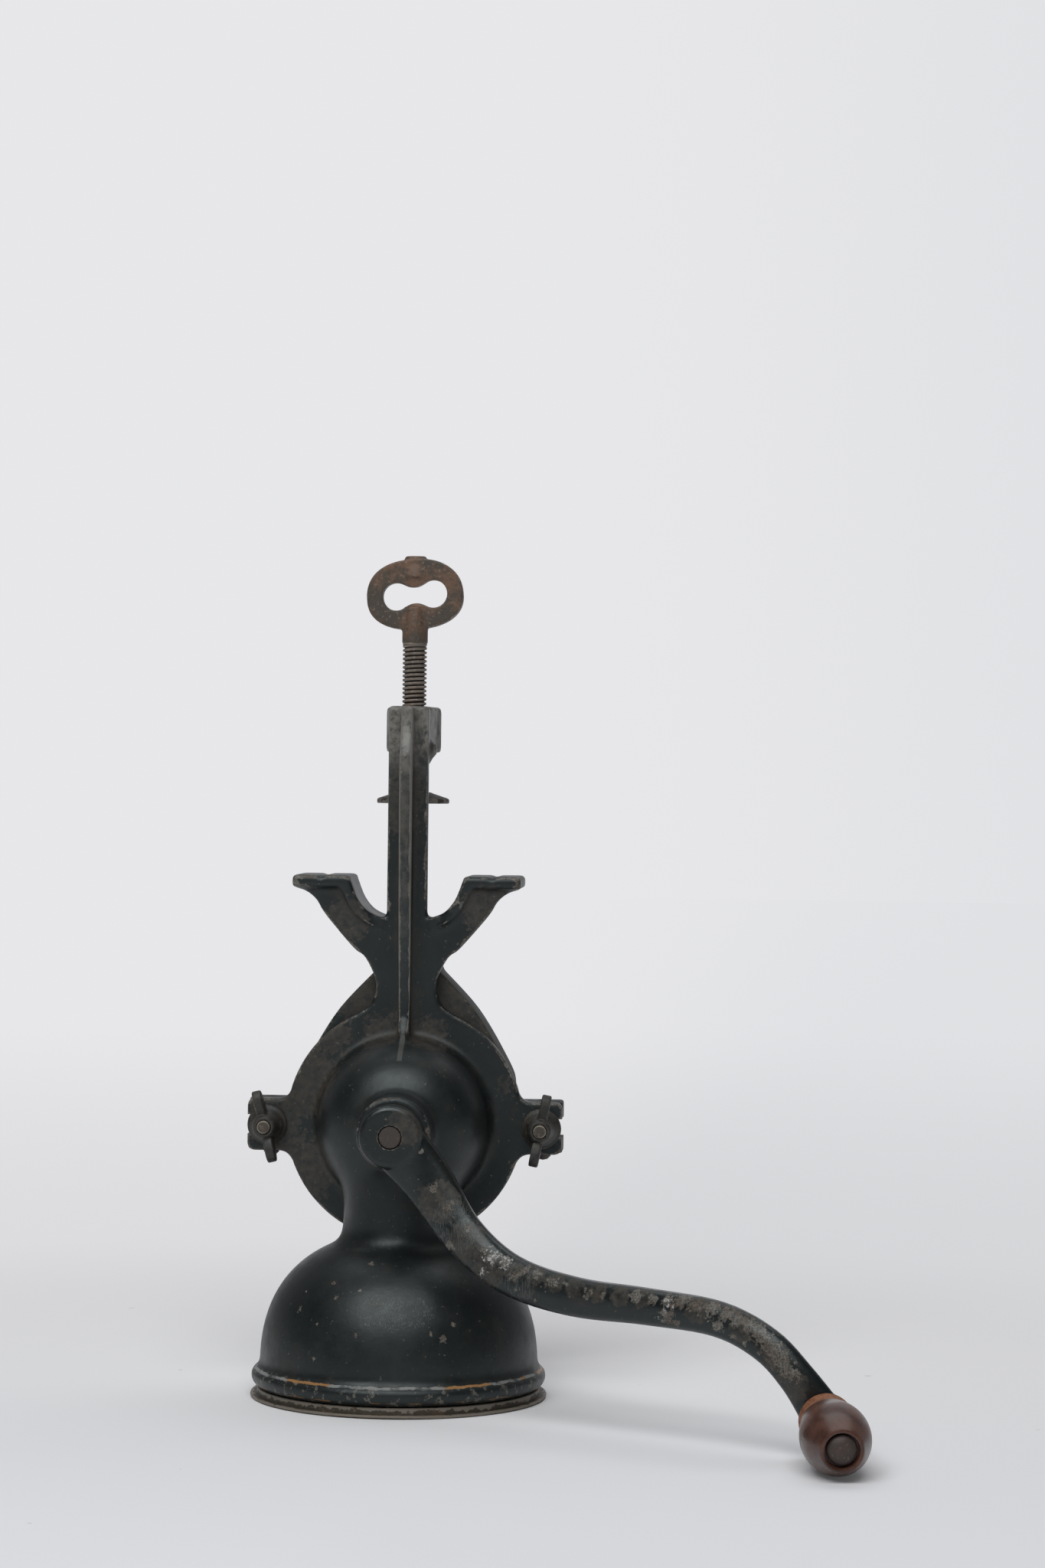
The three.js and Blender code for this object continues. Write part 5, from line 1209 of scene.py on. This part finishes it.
key_ring = slab("key_ring", upright(key_outline(), -3.2), (0, 6.4, 0))
carve(key_ring, slab("hole", upright(finger_hole(), -8), (0, 16, 0)))
round_off(key_ring, 1.5)
key_middle = Matrix.Translation((0, SCREW_Y * MM, (PRESS_Z + KEY_MIDDLE) * MM))
set_in(key_ring, key_middle @ Matrix.Rotation(KEY_LEAN, 4, "Y"))
nub = on_screw("nub", [
    (0, 84.5), (6.4, 84.5), (5.6, 87.6), (4.6, 90.2), (4.1, 91.7), (3.8, 92.3), (3.3, 92.5), (0, 92.5),
], 64)
with editing(nub):
    bpy.ops.transform.resize(value=(1, 0.66, 1), center_override=(0, SCREW_Y * MM, 0))
stem = on_screw("stem", [(0, 59.6), (4.4, 59.6), (4.8, 60.1), (4.8, 66.7), (4.1, 73.5), (0, 73.5)], 64)
key = join("key", [key_ring, nub, stem])
cast_over(key, grain=0.36, rounds=5, fillet=14)
key_rust = rusty(
    "key_rust", (0.072, 0.06, 0.047, 1), (0.16, 0.093, 0.06, 1), (0.27, 0.22, 0.18, 1), 0.6, 0.35, 0.3)
dress(key, key_rust, "screw", "clamp_screw")

plate_cup = on_screw("plate_cup", [
    (4.5, 0), (13.1, 0), (13.4, 0.2), (13.5, 0.5), (13.5, 1.3), (13.3, 1.7), (12.8, 2.0), (7.5, 3.75),
    (6.9, 4.05), (6.2, 4.2), (3.3, 4.2), (3.3, 1.4), (4.5, 1.4), (4.5, 0),
], 128)
plate_rust = rusty(
    "plate_rust", (0.035, 0.03, 0.026, 1), (0.06, 0.042, 0.032, 1), (0.2, 0.18, 0.16, 1), 0.4, 0.4)
dress(plate_cup, plate_rust, "pressure_foot", "pressure_plate")

# The mill stands upside down on pale paper that runs off into a pale wall close behind it.
# A wide soft lamp hangs high in front. A small one lower on the left throws the faint shadow
# of the crank, and a weak one behind lights the upper edges. The room in front is dark.
FLOOR_REACH = 6.0
bpy.ops.mesh.primitive_circle_add(vertices=96, radius=FLOOR_REACH, fill_type="NGON", location=(0, 0, -0.0002))
bpy.ops.object.transform_apply()
paper = bpy.context.object
paper.name = "paper"


def looks(tree):
    """Whether the camera, a gloss or a glass looks, as three Values."""
    path = node(tree, "ShaderNodeLightPath").outputs
    return [Value(path[key]) for key in ("Is Camera Ray", "Is Glossy Ray", "Is Transmission Ray")]


def wall_tone(way):
    """The wall is a little darker to the right: painted shade, as the lamps stand to the left."""
    return blend(ramp(split(way)[0], -0.06, 0.13), (0.8, 0.8, 0.82, 1), (0.745, 0.752, 0.772, 1))


def paper_finish():
    """Matt paper with a few specks, which takes the wall's tone in the distance."""
    made, tree, shader = material("backdrop_paper")
    here = place_on(tree)
    near = blend(noise(here, 5.0, 2.0), (0.855, 0.87, 0.9, 1), (0.88, 0.892, 0.92, 1))
    tone = blend(ramp(split(here)[1], -0.2, 0.15), near, (0.95, 0.953, 0.962, 1))
    speck = ramp(noise(here, 95.0, 2.0, 0.5), 0.765, 0.78, 0.0, 0.4)
    feed(blend(speck, tone, (0.35, 0.34, 0.33, 1)), shader.inputs["Base Color"])
    shader.inputs["Roughness"].default_value = 0.8
    far = worked("ShaderNodeVectorMath", "Value", {0: here}, operation="LENGTH")
    way = worked("ShaderNodeVectorMath", 0, {0: here}, operation="NORMALIZE")
    rise = ramp(far, 0.1, 2.2, 0.885, 1.0)
    glow = node(tree, "ShaderNodeEmission", {"Color": wall_tone(way), "Strength": rise})
    camera_ray, gloss_ray, glass_ray = looks(tree)
    seen = maths("MAXIMUM", maths("MAXIMUM", camera_ray, gloss_ray), glass_ray)
    share = ramp(far, 0.15, 0.5) * seen
    shaders = {0: share, 1: Value(shader.outputs[0]), 2: Value(glow.outputs[0])}
    feed(worked("ShaderNodeMixShader", 0, shaders), tree.nodes["Material Output"].inputs["Surface"])
    return made


paint(paper, paper_finish())


def room():
    """A pale wall to the eye, a strip of it behind the mill to a gloss, and else a dark room."""
    world = bpy.data.worlds.new("room")
    bpy.context.scene.world = world
    world.use_nodes = True
    tree = world.node_tree
    way = Value(node(tree, "ShaderNodeTexCoord").outputs["Generated"])
    y = split(way)[1]
    camera_ray, gloss_ray, glass_ray = looks(tree)
    strip = gloss_ray * ramp(y, 0.82, 0.95)
    share = maths("MAXIMUM", maths("MAXIMUM", camera_ray, glass_ray), strip)
    behind = blend(ramp(y, 0.0, 0.6), (0.035, 0.036, 0.038, 1), (0.2, 0.2, 0.21, 1))
    feed(blend(share, behind, wall_tone(way)), tree.nodes["Background"].inputs["Color"])


room()


def lamp(name, azimuth, height, distance, width, depth, power):
    """A soft lamp aimed at the mill, from its direction in degrees and its distance in metres."""
    around, up = math.radians(azimuth), math.radians(height)
    way = Vector((math.sin(around) * math.cos(up), -math.cos(around) * math.cos(up), math.sin(up)))
    made = bpy.data.lights.new(name, "AREA")
    made.shape = "RECTANGLE"
    made.size, made.size_y = width, depth
    made.energy = power
    hung = bpy.data.objects.new(name, made)
    bpy.context.scene.collection.objects.link(hung)
    hung.location = way * distance + Vector((0, 0, 0.1))
    hung.rotation_euler = way.to_track_quat("Z", "Y").to_euler()


lamp("wide_lamp", azimuth=-9, height=51, distance=2.1, width=2.0, depth=1.4, power=31.0)
lamp("low_lamp", azimuth=-17, height=37, distance=2.6, width=0.3, depth=0.3, power=4.2)
lamp("back_lamp", azimuth=176, height=66, distance=1.6, width=1.8, depth=1.0, power=7.0)

# The camera stands a few degrees to the right of the mill's front, at the height of its clamp,
# with a portrait lens. It leans a touch, so the mill leans to the right as in the photograph.
AZIMUTH, LEAN = math.radians(3.3), math.radians(0.65)
CAMERA_AWAY, CAMERA_ASIDE, CAMERA_HEIGHT = 1.352, 0.0428, 0.2233
camera_data = bpy.data.cameras.new("camera")
camera = bpy.data.objects.new("camera", camera_data)
bpy.context.scene.collection.objects.link(camera)
camera_data.sensor_fit = "VERTICAL"
camera_data.sensor_height = 36.0
camera_data.lens = 85.0
right = Vector((math.cos(AZIMUTH), math.sin(AZIMUTH), 0))
front = Vector((math.sin(AZIMUTH), -math.cos(AZIMUTH), 0))
stand = front * CAMERA_AWAY + right * CAMERA_ASIDE + Vector((0, 0, CAMERA_HEIGHT))
camera.matrix_world = (
    Matrix.Translation(stand) @ Matrix.Rotation(AZIMUTH, 4, "Z")
    @ Matrix.Rotation(math.pi / 2, 4, "X") @ Matrix.Rotation(LEAN, 4, "Z")
)
bpy.context.scene.camera = camera
bpy.context.scene.view_settings.view_transform = "Standard"
